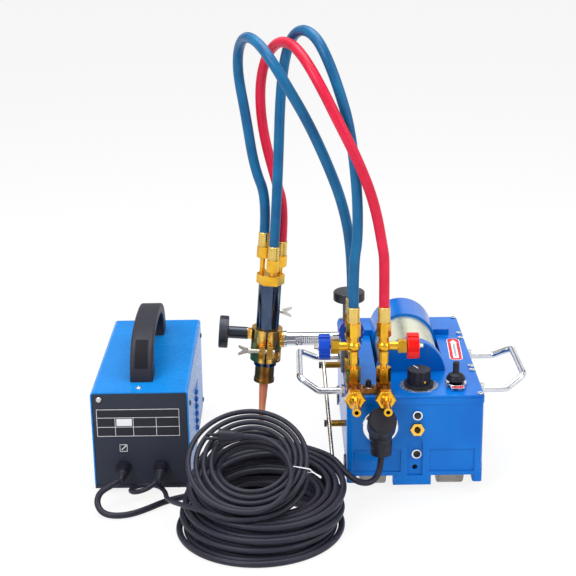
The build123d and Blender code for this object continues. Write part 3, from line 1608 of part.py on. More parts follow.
gland_end_y = box_front_y - gland_nut - gland_length
tail_points = [control_ends[2], control_ends[2] + control_ends[3] * control_exit_run]
tail_points += [Vector(*spot(*place)) for place in control_tail_route]
tail_points.append(Vector(*spot(box_x + gland_left, gland_end_y, gland_z)))
tube("control_tail", [tuple(place) for place in tail_points], control_radius)

# Mains cable: a tilted ring of two layers, its end crossing over into the ring and the plug
mains_steps = [mains_coil_radius - mains_pitch / 2 * step for step in range(2 * mains_turns)]
mains_places = []
mains_side = -1
for layer in range(mains_layers):
    layer_centre, layer_rear, layer_normal = coil_layer(
        mains_coil_x, mains_front_y, mains_front_z + mains_rise * layer,
        mains_coil_radius, mains_tilt + mains_fan * layer,
    )
    for radius in mains_steps if layer % 2 == 0 else mains_steps[::-1]:
        turns_inside = (mains_coil_radius - radius) / mains_pitch
        sideways = Vector(mains_shift * turns_inside, 0, 0)
        mains_places.append(layer_centre + layer_rear * (mains_side * radius) + sideways)
        mains_side = -mains_side
cross_radius_in_ring = mains_coil_radius + mains_pitch / 2
mains_places.append(layer_centre - layer_rear * cross_radius_in_ring + layer_normal * mains_cross_lift)
mains_places.append(layer_centre + layer_rear * mains_end_radius + layer_normal * mains_end_lift)
mains_ends = winding("mains_coil", half_turns(mains_places, 1), mains_radius)

mains_points = [Vector(*spot(box_x + gland_right, gland_end_y, gland_z))]
mains_points += [Vector(*spot(*place)) for place in mains_lead_route]
mains_points += [mains_ends[0] - mains_ends[1] * mains_entry_run, mains_ends[0]]
tube("mains_lead", [tuple(place) for place in mains_points], mains_radius)

with BuildPart() as mains_plug:
    plug_start = Plane(origin=mains_ends[2], x_dir=(0, 1, 0), z_dir=mains_ends[3])
    taper(plug_start, mains_radius, mains_plug_radius * plug_waist_share, mains_plug_length * plug_relief_share)
    taper(
        plug_start.offset(mains_plug_length * plug_relief_share),
        mains_plug_radius * plug_waist_share, mains_plug_radius, mains_plug_length * (1 - plug_relief_share),
    )
    for pin_side in (-1, 1):
        pin = plug_start.offset(mains_plug_length)
        pin.origin = pin.origin + Vector(0, pin_side * plug_pin_spacing / 2, 0)
        disc(pin, plug_pin_radius, plug_pin_length)
finish(mains_plug.part, "mains_plug")
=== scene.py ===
import bpy
import bmesh
import math
from mathutils import Matrix, Vector


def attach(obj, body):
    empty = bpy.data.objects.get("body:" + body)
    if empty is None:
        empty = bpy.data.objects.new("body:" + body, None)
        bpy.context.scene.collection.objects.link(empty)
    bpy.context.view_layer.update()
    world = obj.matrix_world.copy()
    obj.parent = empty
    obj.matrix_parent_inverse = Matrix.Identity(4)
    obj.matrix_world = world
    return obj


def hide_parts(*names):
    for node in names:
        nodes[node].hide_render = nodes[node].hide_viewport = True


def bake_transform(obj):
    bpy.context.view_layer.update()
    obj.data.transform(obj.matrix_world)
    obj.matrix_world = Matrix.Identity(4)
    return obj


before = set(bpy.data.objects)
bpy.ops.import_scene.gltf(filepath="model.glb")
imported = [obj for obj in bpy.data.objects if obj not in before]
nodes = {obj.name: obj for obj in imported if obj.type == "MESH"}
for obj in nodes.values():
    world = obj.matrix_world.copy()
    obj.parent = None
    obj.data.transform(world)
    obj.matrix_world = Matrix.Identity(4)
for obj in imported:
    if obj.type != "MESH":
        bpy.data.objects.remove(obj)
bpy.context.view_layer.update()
print("frame loaded")

crawlerCorner = Vector((0.0495, -0.1305, 0))  # the crawler's front left corner on the floor
torchCentre = Vector((-0.065, -0.0085, 0.194))
torchLean = math.radians(4.5)


def spot(x, y, z):
    return crawlerCorner + Vector((x, y, z))


def torchSpot(x, y, z):
    leanX = Vector((math.cos(torchLean), 0, -math.sin(torchLean)))
    leanZ = Vector((math.sin(torchLean), 0, math.cos(torchLean)))
    return torchCentre + leanX * x + Vector((0, y, 0)) + leanZ * z


def tone(red, green, blue):  # a colour as a screen shows it, 0 to 255, turned into light
    parts = []
    for part in (red, green, blue):
        share = part / 255
        parts.append(share / 12.92 if share < 0.04045 else ((share + 0.055) / 1.055) ** 2.4)
    return (*parts, 1)


# Shader arithmetic
class Wire:
    def __init__(self, finish, socket):
        self.finish = finish
        self.socket = socket

    def maths(self, operation, first, second=0.0):
        return self.finish.add("Math", {"operation": operation}, {0: first, 1: second})

    def __add__(self, other):
        return self.maths("ADD", self, other)

    __radd__ = __add__

    def __sub__(self, other):
        return self.maths("SUBTRACT", self, other)

    def __rsub__(self, other):
        return self.maths("SUBTRACT", other, self)

    def __mul__(self, other):
        return self.maths("MULTIPLY", self, other)

    __rmul__ = __mul__

    def __gt__(self, other):
        return self.maths("GREATER_THAN", self, other)

    def __lt__(self, other):
        return self.maths("LESS_THAN", self, other)

    def __abs__(self):
        return self.maths("ABSOLUTE", self)

    def power(self, exponent):
        return self.maths("POWER", self, exponent)

    def wave(self):
        return self.maths("SINE", self)


class Finish:
    def __init__(self, name, **values):
        self.material = bpy.data.materials.new(name)
        self.material.use_nodes = True
        self.tree = self.material.node_tree
        self.shader = self.tree.nodes["Principled BSDF"]
        for label, value in values.items():
            self.shader.inputs[label.replace("_", " ")].default_value = value
        self.material.diffuse_color = self.shader.inputs["Base Color"].default_value

    def add(self, kind, settings=None, values=None, output=0):
        node = self.tree.nodes.new("ShaderNode" + kind)
        for label, value in (settings or {}).items():
            if label == "stops":
                for index, (place, colour) in enumerate(value):
                    element = node.color_ramp.elements[index] if index < 2 else node.color_ramp.elements.new(place)
                    element.position = place
                    element.color = colour
            else:
                setattr(node, label, value)
        for label, value in (values or {}).items():
            if isinstance(value, Wire):
                self.tree.links.new(value.socket, node.inputs[label])
            else:
                node.inputs[label].default_value = value
        return Wire(self, node.outputs[output])

    def point(self):
        return self.add("TexCoord", output="Object")

    def axis(self, point, letter):
        return self.add("SeparateXYZ", values={0: point}, output="XYZ".index(letter))

    def noise(self, point, scale, detail=2.0, roughness=0.5):
        return self.add("TexNoise", values={
            "Vector": point, "Scale": scale, "Detail": detail, "Roughness": roughness,
        })

    def stretched(self, point, scale):
        return self.add("Mapping", values={"Vector": point, "Scale": scale})

    def mixed(self, factor, first, second):
        return self.add("Mix", {"data_type": "RGBA"}, {0: factor, 6: first, 7: second}, output=2)

    def use(self, label, wire):
        self.tree.links.new(wire.socket, self.shader.inputs[label])

    def relief(self, height, distance, strength=1.0, edge=0.0):
        values = {"Height": height, "Distance": distance, "Strength": strength}
        if edge:
            values["Normal"] = self.add("Bevel", {"samples": 4}, {"Radius": edge})
        self.use("Normal", self.add("Bump", values=values))


def ramped(low, high, value):  # 0 below low, 1 above high
    return value.finish.add(
        "MapRange", {"interpolation_type": "SMOOTHSTEP"}, {0: value, 1: low, 2: high, 3: 0.0, 4: 1.0},
    )


# Finishes
def paintedMetal(name, colour, deep, roughness=0.22):
    finish = Finish(name, Base_Color=colour, Roughness=roughness, Specular_IOR_Level=0.2)
    point = finish.point()
    broad = finish.noise(point, 9.0, 3.0)
    finish.use("Base Color", finish.mixed(ramped(0.35, 0.7, broad), deep, colour))
    finish.use("Roughness", finish.noise(point, 60.0, 3.0) * 0.12 + (roughness - 0.06))
    finish.relief(finish.noise(point, 900.0, 1.0), 0.00003, 0.5, edge=0.0009)
    return finish.material


def plainMetal(name, colour, dull, roughness, grain, stretch=(1, 1, 1), edge=0.0005, marks=0.5):
    finish = Finish(name, Base_Color=colour, Roughness=roughness, Metallic=1.0)
    point = finish.point()
    cloud = finish.noise(point, 45.0, 4.0, 0.6)
    finish.use("Base Color", finish.mixed(ramped(0.4, 0.75, cloud) * marks, colour, dull))
    fine = finish.noise(finish.stretched(point, stretch), grain, 2.0)
    finish.use("Roughness", fine * roughness * 0.9 + cloud * 0.1 + roughness * 0.4)
    finish.relief(fine, 0.00004, 0.35, edge=edge)
    return finish.material


def moulded(name, colour, roughness, grain, depth=0.00006, lift=1.7):
    finish = Finish(name, Base_Color=colour, Roughness=roughness, Specular_IOR_Level=0.25)
    point = finish.point()
    speck = finish.noise(point, grain, 2.0)
    finish.use("Roughness", finish.noise(point, 50.0, 3.0) * 0.18 + (roughness - 0.08))
    lighter = [min(1.0, part * lift) for part in colour[:3]] + [1]
    finish.use("Base Color", finish.mixed(finish.noise(point, 20.0, 2.0), colour, lighter))
    finish.relief(speck, depth, 0.6, edge=0.0006)
    return finish.material


bluePaint = paintedMetal("bluePaint", tone(2, 110, 200), tone(0, 97, 187))
boxPaint = paintedMetal("boxPaint", tone(10, 128, 208), tone(6, 120, 200), 0.28)
chrome = plainMetal("chrome", tone(214, 216, 222), tone(160, 163, 172), 0.07, 400, marks=0.4)
barrelChrome = plainMetal("barrelChrome", tone(70, 84, 106), tone(38, 50, 72), 0.1, 300, (1, 1, 0.05))
brass = plainMetal("brass", tone(236, 184, 58), tone(184, 120, 20), 0.22, 500)
paleBrass = plainMetal("paleBrass", tone(228, 196, 110), tone(192, 152, 66), 0.28, 600)
darkBrass = plainMetal("darkBrass", tone(184, 128, 62), tone(118, 76, 34), 0.34, 600, marks=0.9)
turnedSteel = plainMetal("turnedSteel", tone(150, 144, 138), tone(98, 90, 84), 0.38, 300, (0.1, 1, 1), marks=0.8)
warmSteel = plainMetal("warmSteel", tone(200, 190, 172), tone(146, 128, 104), 0.26, 500)
zincPlate = plainMetal("zincPlate", tone(216, 214, 208), tone(170, 168, 162), 0.26, 500)
sleevePlate = plainMetal("sleevePlate", tone(236, 238, 216), tone(224, 220, 184), 0.36, 700, (1, 0.15, 1))
innerSteel = plainMetal("innerSteel", tone(120, 122, 126), tone(84, 84, 88), 0.4, 300)
woundCopper = plainMetal("woundCopper", tone(190, 108, 64), tone(140, 70, 40), 0.35, 900, (1, 0.1, 1))
blackSteel = plainMetal("blackSteel", tone(80, 82, 90), tone(40, 41, 46), 0.36, 500)
blackPlastic = moulded("blackPlastic", tone(25, 25, 35), 0.38, 1600)
insetPlastic = moulded("insetPlastic", tone(8, 8, 15), 0.75, 1600)
grippedPlastic = moulded("grippedPlastic", tone(28, 28, 38), 0.5, 2600, 0.0001)
cableRubber = moulded("cableRubber", tone(30, 30, 42), 0.42, 2200)
bluePlastic = moulded("bluePlastic", tone(8, 62, 172), 0.3, 900, 0.00004, 1.15)
redPlastic = moulded("redPlastic", tone(214, 8, 4), 0.3, 900, 0.00004, 1.1)
whitePrint = moulded("whitePrint", tone(222, 224, 228), 0.5, 1500, 0.00002, 1.08)
redPrint = moulded("redPrint", tone(190, 40, 46), 0.45, 1500, 0.00002, 1.2)
greyPrint = moulded("greyPrint", tone(150, 152, 160), 0.5, 1500, 0.00002, 1.2)
print("finishes made")


def hoseRubber(name, colour, shade):
    finish = Finish(name, Base_Color=colour, Roughness=0.36, Specular_IOR_Level=0.3)
    surface = finish.add("UVMap", {"uv_map": "UVMap"})
    ribs = (finish.axis(surface, "X") * 24 * math.tau).wave() * 0.5 + 0.5
    rings = (finish.axis(surface, "Y") * 2600).wave() * 0.5 + 0.5
    threads = ribs * 0.4 + rings * 0.6  # the woven cover, fine ribs along the hose and rings around it
    point = finish.point()
    cloud = finish.noise(point, 26.0, 3.0)
    finish.use("Base Color", finish.mixed(ramped(0.3, 0.75, cloud), shade, colour))
    finish.use("Roughness", cloud * 0.2 + 0.26)
    finish.relief(threads, 0.00012, 0.35)
    return finish.material


blueHose = hoseRubber("blueHoseRubber", tone(0, 100, 148), tone(0, 82, 130))
redHose = hoseRubber("redHoseRubber", tone(216, 22, 66), tone(196, 12, 50))


def frontFittingFinish():  # chrome flange, black fuse cap and screw with bright rings, brass port with painted shade in its bore
    finish = Finish("frontFittings", Base_Color=tone(226, 228, 232), Roughness=0.09, Metallic=1.0)
    point = finish.point()
    x = finish.axis(point, "X")
    z = finish.axis(point, "Z")
    away = abs(x - (crawlerCorner.x + 0.101))
    column = away < 0.012
    black = tone(20, 20, 24)

    def within(height, radius):  # a round face at this height in the column
        return ((away * away + (z - height) * (z - height)).power(0.5)) < radius

    fuse = column * within(0.121, 0.0052)
    screw = column * within(0.060, 0.0054)
    port = column * (abs(z - 0.099) < 0.0115)
    # painted shade: the bore of the port is painted dark brown where shade falls inside the hole
    portBoreShade = port * within(0.099, 0.0046)
    colour = finish.mixed(port, tone(226, 228, 232), tone(240, 190, 84))
    colour = finish.mixed(portBoreShade, colour, tone(60, 44, 30))
    dark = (fuse + screw) > 0.5
    finish.use("Base Color", finish.mixed(dark, colour, black))
    finish.use("Metallic", 1 - dark)
    finish.use("Roughness", dark * 0.35 + finish.noise(point, 200.0) * 0.08 + 0.06)
    finish.relief(finish.noise(point, 500.0), 0.00003, 0.3, edge=0.0006)
    return finish.material


def studFinish():  # threaded dark brass studs with black heads at their outer ends
    finish = Finish("studs", Base_Color=tone(176, 132, 52), Roughness=0.28, Metallic=1.0)
    point = finish.point()
    x = finish.axis(point, "X")
    z = finish.axis(point, "Z")
    upperHead = (z > 0.105) * (x < crawlerCorner.x - 0.0312)
    head = upperHead + (x < crawlerCorner.x - 0.0262) * (z < 0.105)
    cloud = finish.noise(point, 90.0)
    metal = finish.mixed(cloud, tone(190, 144, 56), tone(120, 84, 30))
    finish.use("Base Color", finish.mixed(head, metal, tone(26, 26, 30)))
    finish.use("Metallic", 1 - head)
    finish.use("Roughness", cloud * 0.2 + 0.2)
    threads = (x * 5200).wave() * (1 - head)
    finish.relief(threads, 0.00022, 0.8)
    return finish.material


def manifoldFinish():  # dark cast body with brighter turned nuts above it
    finish = Finish("manifoldBrass", Base_Color=tone(166, 112, 52), Roughness=0.3, Metallic=1.0)
    point = finish.point()
    z = finish.axis(point, "Z")
    cloud = finish.noise(point, 60.0, 4.0, 0.6)
    cast = finish.mixed(ramped(0.35, 0.7, cloud), tone(172, 112, 56), tone(96, 58, 26))
    nuts = finish.mixed(ramped(0.4, 0.75, cloud), tone(252, 206, 84), tone(238, 176, 54))
    finish.use("Base Color", finish.mixed(z > 0.1690, cast, nuts))
    finish.use("Roughness", cloud * 0.24 + 0.18)
    finish.relief(finish.noise(point, 700.0), 0.00005, 0.4, edge=0.0006)
    return finish.material


def screwFinish():  # bright cover screws, those sunk in recesses painted darker grey as painted shade, black socket screw on the manifold
    finish = Finish("screws", Base_Color=tone(232, 234, 236), Roughness=0.25, Metallic=1.0)
    point = finish.point()
    z = finish.axis(point, "Z")
    black = z > 0.1602
    # painted shade: screws below this height sit in recesses and are painted a darker grey
    sunkScrewShade = z < 0.1512
    colour = finish.mixed(sunkScrewShade, tone(236, 238, 240), tone(120, 122, 128))
    finish.use("Base Color", finish.mixed(black, colour, tone(22, 22, 26)))
    finish.use("Metallic", 1 - black * 0.8)
    finish.use("Roughness", black * 0.12 + 0.24)
    finish.relief(finish.noise(point, 600.0), 0.00003, 0.3, edge=0.0004)
    return finish.material


def holderFinish():  # brass clamp with the dark sleeve of the torch knob
    finish = Finish("holderBrass", Base_Color=tone(226, 178, 84), Roughness=0.24, Metallic=1.0)
    point = finish.point()
    x = finish.axis(point, "X")
    sleeve = x < (torchCentre.x - 0.0287)
    cloud = finish.noise(point, 70.0, 4.0, 0.6)
    warm = finish.mixed(ramped(0.4, 0.7, cloud), tone(232, 184, 92), tone(178, 122, 46))
    finish.use("Base Color", finish.mixed(sleeve, warm, tone(66, 70, 78)))
    finish.use("Roughness", cloud * 0.2 + 0.14)
    finish.relief(finish.noise(point, 600.0), 0.00004, 0.3, edge=0.0007)
    return finish.material


def chassisFinish():  # black front panel and base
    finish = Finish("chassisPaint", Base_Color=tone(40, 45, 59), Roughness=0.48, Specular_IOR_Level=0.25)
    point = finish.point()
    finish.use("Base Color", finish.mixed(finish.noise(point, 8.0, 3.0), tone(36, 41, 55), tone(46, 51, 65)))
    finish.use("Roughness", finish.noise(point, 300.0, 2.0) * 0.2 + 0.38)
    finish.relief(finish.noise(point, 3000.0, 2.0), 0.0001, 0.5, edge=0.0006)
    return finish.material


def nozzleFinish():  # copper with a faint heat tint towards the tip
    finish = Finish("nozzleCopper", Base_Color=tone(232, 146, 104), Roughness=0.42, Metallic=0.1)
    point = finish.point()
    z = finish.axis(point, "Z")
    heat = ramped(0.11, 0.066, z)
    cloud = finish.noise(finish.stretched(point, (1, 1, 0.3)), 120.0, 3.0)
    warm = finish.mixed(cloud, tone(246, 148, 106), tone(228, 126, 88))
    finish.use("Base Color", finish.mixed(heat * 0.7, warm, tone(250, 168, 120)))
    finish.use("Roughness", cloud * 0.2 + 0.3)
    finish.relief(cloud, 0.00005, 0.4)
    return finish.material


nodeFinishes = {
    "crawler_housing": bluePaint, "front_cover": bluePaint, "rear_cover": bluePaint, "motor_bracket": bluePaint,
    "motor_bell": bluePaint, "motor_sleeve": sleevePlate, "motor_stator": woundCopper, "motor_rotor": innerSteel,
    "idler_gear": innerSteel, "drive_shaft": innerSteel, "shaft_hangers": innerSteel, "front_axle": innerSteel,
    "rear_axle": innerSteel, "front_wheels": turnedSteel, "rear_wheels": turnedSteel, "axle_bushes": blackSteel,
    "dial_plate": zincPlate, "speed_control": blackPlastic, "speed_knob": blackPlastic, "toggle_switch": chrome,
    "toggle_lever": blackPlastic, "left_handle": chrome, "right_handle": chrome, "guide_rod": warmSteel,
    "gas_manifold": manifoldFinish(), "hose_inlets": brass, "valve_bodies": brass, "oxygen_knob": bluePlastic,
    "fuel_knob": redPlastic, "cutting_knob": bluePlastic, "arm_post": innerSteel, "arm_bar": chrome,
    "arm_knob": blackSteel, "torch_knob": blackSteel, "clamp_wing_screw": zincPlate, "guide_wing_screw": zincPlate,
    "torch_barrel": barrelChrome, "torch_head": darkBrass, "torch_inlets": brass, "box_cover": boxPaint,
    "box_feet": grippedPlastic, "box_handle": grippedPlastic, "box_glands": blackPlastic,
    "power_supply": innerSteel, "control_plug": blackPlastic, "mains_plug": blackPlastic,
    "front_fittings": frontFittingFinish(),
    "guide_studs": studFinish(), "cover_screws": screwFinish(), "torch_holder": holderFinish(),
    "box_chassis": chassisFinish(), "cutting_nozzle": nozzleFinish(),
}
for label, material in nodeFinishes.items():
    for slot in nodes[label].material_slots:
        slot.material = material
print("CAD pieces finished")


# Mesh helpers
def toObject(name, mesh, material, body, smooth=True):
    mesh.name = name
    piece = bpy.data.objects.new(name, mesh)
    bpy.context.collection.objects.link(piece)
    if material is not None:
        mesh.materials.clear()
        mesh.materials.append(material)
    for face in mesh.polygons:
        face.use_smooth = smooth
    if body:
        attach(piece, body)
    return piece


def lathed(profile, origin, axis, segments=32):  # profile: (distance along the axis, radius), closed at both ends
    turned = bmesh.new()
    frameMatrix = Matrix.Translation(origin) @ Vector(axis).to_track_quat("Z", "Y").to_matrix().to_4x4()
    rings = []
    for along, radius in profile:
        if radius < 1e-7:
            rings.append([turned.verts.new(frameMatrix @ Vector((0, 0, along)))])
            continue
        rings.append([
            turned.verts.new(frameMatrix @ Vector((radius * math.cos(turn), radius * math.sin(turn), along)))
            for turn in (math.tau * step / segments for step in range(segments))
        ])
    for before, after in zip(rings, rings[1:]):
        for step in range(segments):
            following = (step + 1) % segments
            if len(before) == 1 and len(after) > 1:
                turned.faces.new((before[0], after[following], after[step]))
            elif len(after) == 1 and len(before) > 1:
                turned.faces.new((before[step], before[following], after[0]))
            elif len(before) > 1:
                turned.faces.new((before[step], before[following], after[following], after[step]))
    bmesh.ops.remove_doubles(turned, verts=turned.verts, dist=0.000001)
    bmesh.ops.recalc_face_normals(turned, faces=turned.faces)
    mesh = bpy.data.meshes.new("turned")
    turned.to_mesh(mesh)
    turned.free()
    return mesh


def facing(origin, axis):  # a place whose Z points along the axis
    return Matrix.Translation(origin) @ Vector(axis).to_track_quat("Z", "Y").to_matrix().to_4x4()


def plateMesh(outlines, origin, across, upward, thickness, sunk=0.00005):  # flat shapes raised from a surface
    across = Vector(across).normalized()
    upward = Vector(upward).normalized()
    normal = across.cross(upward)
    raised = bmesh.new()
    for outline in outlines:
        low = [raised.verts.new(origin + across * u + upward * v - normal * sunk) for u, v in outline]
        high = [raised.verts.new(vertex.co + normal * (thickness + sunk)) for vertex in low]
        raised.faces.new(high)
        raised.faces.new(list(reversed(low)))
        for step in range(len(outline)):
            following = (step + 1) % len(outline)
            raised.faces.new((low[step], low[following], high[following], high[step]))
    bmesh.ops.recalc_face_normals(raised, faces=raised.faces)
    mesh = bpy.data.meshes.new("plate")
    raised.to_mesh(mesh)
    raised.free()
    return mesh


def bar(u, v, width, height, turn=0.0):
    corners = [(side * width / 2, end * height / 2) for side, end in ((-1, -1), (1, -1), (1, 1), (-1, 1))]
    cosine, sine = math.cos(turn), math.sin(turn)
    return [(u + x * cosine - y * sine, v + x * sine + y * cosine) for x, y in corners]


def inMetres(profile):  # a profile drawn in millimetres
    return [(along / 1000, radius / 1000) for along, radius in profile]


def roundedPlate(width, height, radius, steps=5):
    outline = []
    for corner, (sideU, sideV) in enumerate(((1, 1), (-1, 1), (-1, -1), (1, -1))):
        for step in range(steps + 1):
            turn = math.pi / 2 * (corner + step / steps)
            outline.append((
                sideU * (width / 2 - radius) + radius * math.cos(turn),
                sideV * (height / 2 - radius) + radius * math.sin(turn),
            ))
    return outline


# Repeated pieces, grown by node trees with named inputs
def newTree(name, inputs):
    tree = bpy.data.node_groups.new(name, "GeometryNodeTree")
    tree.interface.new_socket("Geometry", in_out="OUTPUT", socket_type="NodeSocketGeometry")
    for label, kind in inputs.items():
        tree.interface.new_socket(label, in_out="INPUT", socket_type="NodeSocket" + kind)
    given = tree.nodes.new("NodeGroupInput")

    def add(kind, settings=None, values=None):
        node = tree.nodes.new(kind)
        for label, value in (settings or {}).items():
            setattr(node, label, value)
        for label, value in (values or {}).items():
            if isinstance(value, str):
                value = given.outputs[value]
            if isinstance(value, bpy.types.NodeSocket):
                tree.links.new(value, node.inputs[label])
            else:
                node.inputs[label].default_value = value
        return node

    return tree, add


def closeTree(tree, add, pieces, material):
    real = add("GeometryNodeRealizeInstances", values={"Geometry": pieces})
    painted = add("GeometryNodeSetMaterial", values={"Geometry": real.outputs["Geometry"], "Material": material})
    tree.links.new(painted.outputs["Geometry"], tree.nodes.new("NodeGroupOutput").inputs["Geometry"])
    return tree


def ringTree():  # blocks along a circle, each facing outwards and a little different
    tree, add = newTree("ringOfBlocks", {
        "Count": "Int", "Radius": "Float", "Start": "Float", "Sweep": "Float", "Block Size": "Vector",
        "Seed": "Int", "Material": "Material",
    })
    arc = add("GeometryNodeCurveArc", {"mode": "RADIUS"}, {
        "Resolution": "Count", "Radius": "Radius", "Start Angle": "Start", "Sweep Angle": "Sweep",
    })
    points = add("GeometryNodeCurveToPoints", {"mode": "EVALUATED"}, {"Curve": arc.outputs["Curve"]})
    place = add("GeometryNodeInputPosition")
    turned = add("FunctionNodeAlignRotationToVector", {"axis": "X"}, {"Vector": place.outputs["Position"]})
    block = add("GeometryNodeMeshCube", values={"Size": "Block Size"})
    varied = add("FunctionNodeRandomValue", {"data_type": "FLOAT"}, {"Seed": "Seed"})
    varied.inputs[2].default_value = 0.95
    varied.inputs[3].default_value = 1.03
    blocks = add("GeometryNodeInstanceOnPoints", values={
        "Points": points.outputs["Points"], "Instance": block.outputs["Mesh"],
        "Rotation": turned.outputs["Rotation"], "Scale": varied.outputs[1],
    })
    return closeTree(tree, add, blocks.outputs["Instances"], "Material")


def rowTree():  # one shape repeated in a straight row
    tree, add = newTree("rowOfPieces", {
        "Count": "Int", "Step": "Vector", "Piece": "Object", "Material": "Material",
    })
    line = add("GeometryNodeMeshLine", {"mode": "OFFSET"}, {"Count": "Count", "Offset": "Step"})
    piece = add("GeometryNodeObjectInfo", {"transform_space": "ORIGINAL"}, {"Object": "Piece"})
    row = add("GeometryNodeInstanceOnPoints", values={
        "Points": line.outputs["Mesh"], "Instance": piece.outputs["Geometry"],
    })
    return closeTree(tree, add, row.outputs["Instances"], "Material")


def grown(tree, values, place):  # the tree's result as a plain mesh, moved to its place
    holder = bpy.data.objects.new("holder", bpy.data.meshes.new("holder"))
    bpy.context.collection.objects.link(holder)
    modifier = holder.modifiers.new("grow", "NODES")
    modifier.node_group = tree
    for item in tree.interface.items_tree:
        if item.in_out == "INPUT" and item.name in values:
            modifier[item.identifier] = values[item.name]
    mesh = bpy.data.meshes.new_from_object(holder.evaluated_get(bpy.context.evaluated_depsgraph_get()))
    holder.modifiers.remove(modifier)
    bpy.data.objects.remove(holder)
    mesh.transform(place)
    return mesh


# Cords
def nurbsLine(points, radius=0.0, sides=6, steps=6):
    data = bpy.data.curves.new("line", "CURVE")
    data.dimensions = "3D"
    data.bevel_depth = radius
    data.bevel_resolution = sides
    data.use_fill_caps = True
    spline = data.splines.new("NURBS")
    spline.points.add(len(points) - 1)
    for point, place in zip(spline.points, points):
        point.co = (*place, 1)
    spline.order_u = 3
    spline.use_endpoint_u = True
    spline.resolution_u = steps
    data.resolution_u = steps
    return data


def layCord(name, points, radius, material, body="crawler"):
    data = nurbsLine(points, radius)
    cord = bpy.data.objects.new(name, data)
    bpy.context.collection.objects.link(cord)
    data.materials.append(material)
    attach(cord, body)
    return cord


controlCoil = {
    "front": (-0.126, -0.2125, 0.0045), "radius": 0.112, "turns": 4, "layers": 4, "pitch": 0.0103,
    "rise": 0.012, "fan": 2.0, "tilt": 0.0, "shiftX": 0.0045, "shiftY": 0.008, "entryTurn": 40.0,
    "exitTurn": 20.0, "exitShift": 0.014,
}
mainsCoil = {
    "front": (-0.137, -0.176, 0.0505), "radius": 0.080, "turns": 4, "layers": 2, "pitch": 0.009,
    "rise": 0.010, "fan": 10.0, "tilt": 23.0, "turnShift": 0.0014, "crossLift": 0.009, "endLift": 0.018,
    "endRadius": 0.028,
}


def coilLayer(coil, layer):  # centre, rearward direction and normal of a layer, hinged at its front
    tilt = math.radians(coil["tilt"] + coil["fan"] * layer)
    x, y, z = coil["front"]
    rear = Vector((0, math.cos(tilt), math.sin(tilt)))
    normal = Vector((0, -math.sin(tilt), math.cos(tilt)))
    front = spot(x + coil.get("shiftX", 0) * layer, y + coil.get("shiftY", 0) * layer, z + coil["rise"] * layer)
    return front + rear * coil["radius"], rear, normal


def arcPoints(centre, arm, reach, degrees, steps):  # the smooth line runs just inside its control points
    turn = math.radians(degrees) / steps
    outward = 1 / math.cos(turn / 2)
    return [
        centre + (arm * math.cos(turn * step) + reach * math.sin(turn * step)) * outward for step in range(steps)
    ]


def halfTurns(places, side, steps=9):  # half circles through front and rear places in turn
    points = []
    for start, end in zip(places, places[1:]):
        reach = Vector((side, 0, 0)) * ((end - start).length / 2)
        points += arcPoints((start + end) / 2, (start - end) / 2, reach, 180, steps)
        side = -side
    return points


# Control cable: from the plug on the crawler through its coil, top layer first, to the power box
controlLead = [
    (0.048, -0.020, 0.071), (0.048, -0.020, 0.046), (0.036, -0.037, 0.034), (0.017, -0.044, 0.036),
    (-0.001, -0.034, 0.045),
]
controlTail = [
    (-0.232, -0.014, 0.0048), (-0.262, -0.030, 0.0048), (-0.284, -0.052, 0.0048), (-0.308, -0.070, 0.0048),
    (-0.332, -0.073, 0.0048), (-0.348, -0.066, 0.007), (-0.356, -0.054, 0.016), (-0.352, -0.046, 0.028),
    (-0.337, -0.044, 0.037), (-0.323, -0.032, 0.040), (-0.323, -0.014, 0.040),
]
stepsIn = [controlCoil["radius"] - controlCoil["pitch"] / 2 * step for step in range(2 * controlCoil["turns"])]
coilPlaces = []
rearwards = 1
for layer in reversed(range(controlCoil["layers"])):
    centre, rear, normal = coilLayer(controlCoil, layer)
    if not coilPlaces:
        entryAngle = math.radians(90 - controlCoil["entryTurn"])
        entryArm = (Vector((math.cos(entryAngle), 0, 0)) + rear * math.sin(entryAngle)) * controlCoil["radius"]
        entryReach = (Vector((-math.sin(entryAngle), 0, 0)) + rear * math.cos(entryAngle)) * controlCoil["radius"]
        coilEntry = arcPoints(centre, entryArm, entryReach, controlCoil["entryTurn"], 2)
        entryRun = (centre + entryArm) - entryReach.normalized() * 0.029
    for radius in stepsIn if (controlCoil["layers"] - layer) % 2 else stepsIn[::-1]:
        coilPlaces.append(centre + rear * (rearwards * radius))
        rearwards = -rearwards
coilPlaces.append(centre + rear * (controlCoil["radius"] + controlCoil["pitch"] / 2))
exitRadius = (coilPlaces[-1] - centre).length + controlCoil["exitShift"]
exitCentre = coilPlaces[-1] - rear * exitRadius
exitTurn = math.radians(controlCoil["exitTurn"])
exitEnd = exitCentre + rear * exitRadius * math.cos(exitTurn) - Vector((exitRadius * math.sin(exitTurn), 0, 0))
exitDirection = (-rear * math.sin(exitTurn) - Vector((math.cos(exitTurn), 0, 0))).normalized()
coilExit = arcPoints(exitCentre, rear * exitRadius, Vector((-exitRadius, 0, 0)), controlCoil["exitTurn"], 1)
coilExit += [exitEnd, exitEnd + exitDirection * 0.035]
controlPoints = (
    [spot(*place) for place in controlLead] + [entryRun] + coilEntry + halfTurns(coilPlaces, -1) + coilExit
    + [spot(*place) for place in controlTail]
)
controlCable = layCord("control_cable", controlPoints, 0.0045, cableRubber)
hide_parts("control_lead", "control_coil", "control_tail")
print("control cable laid")

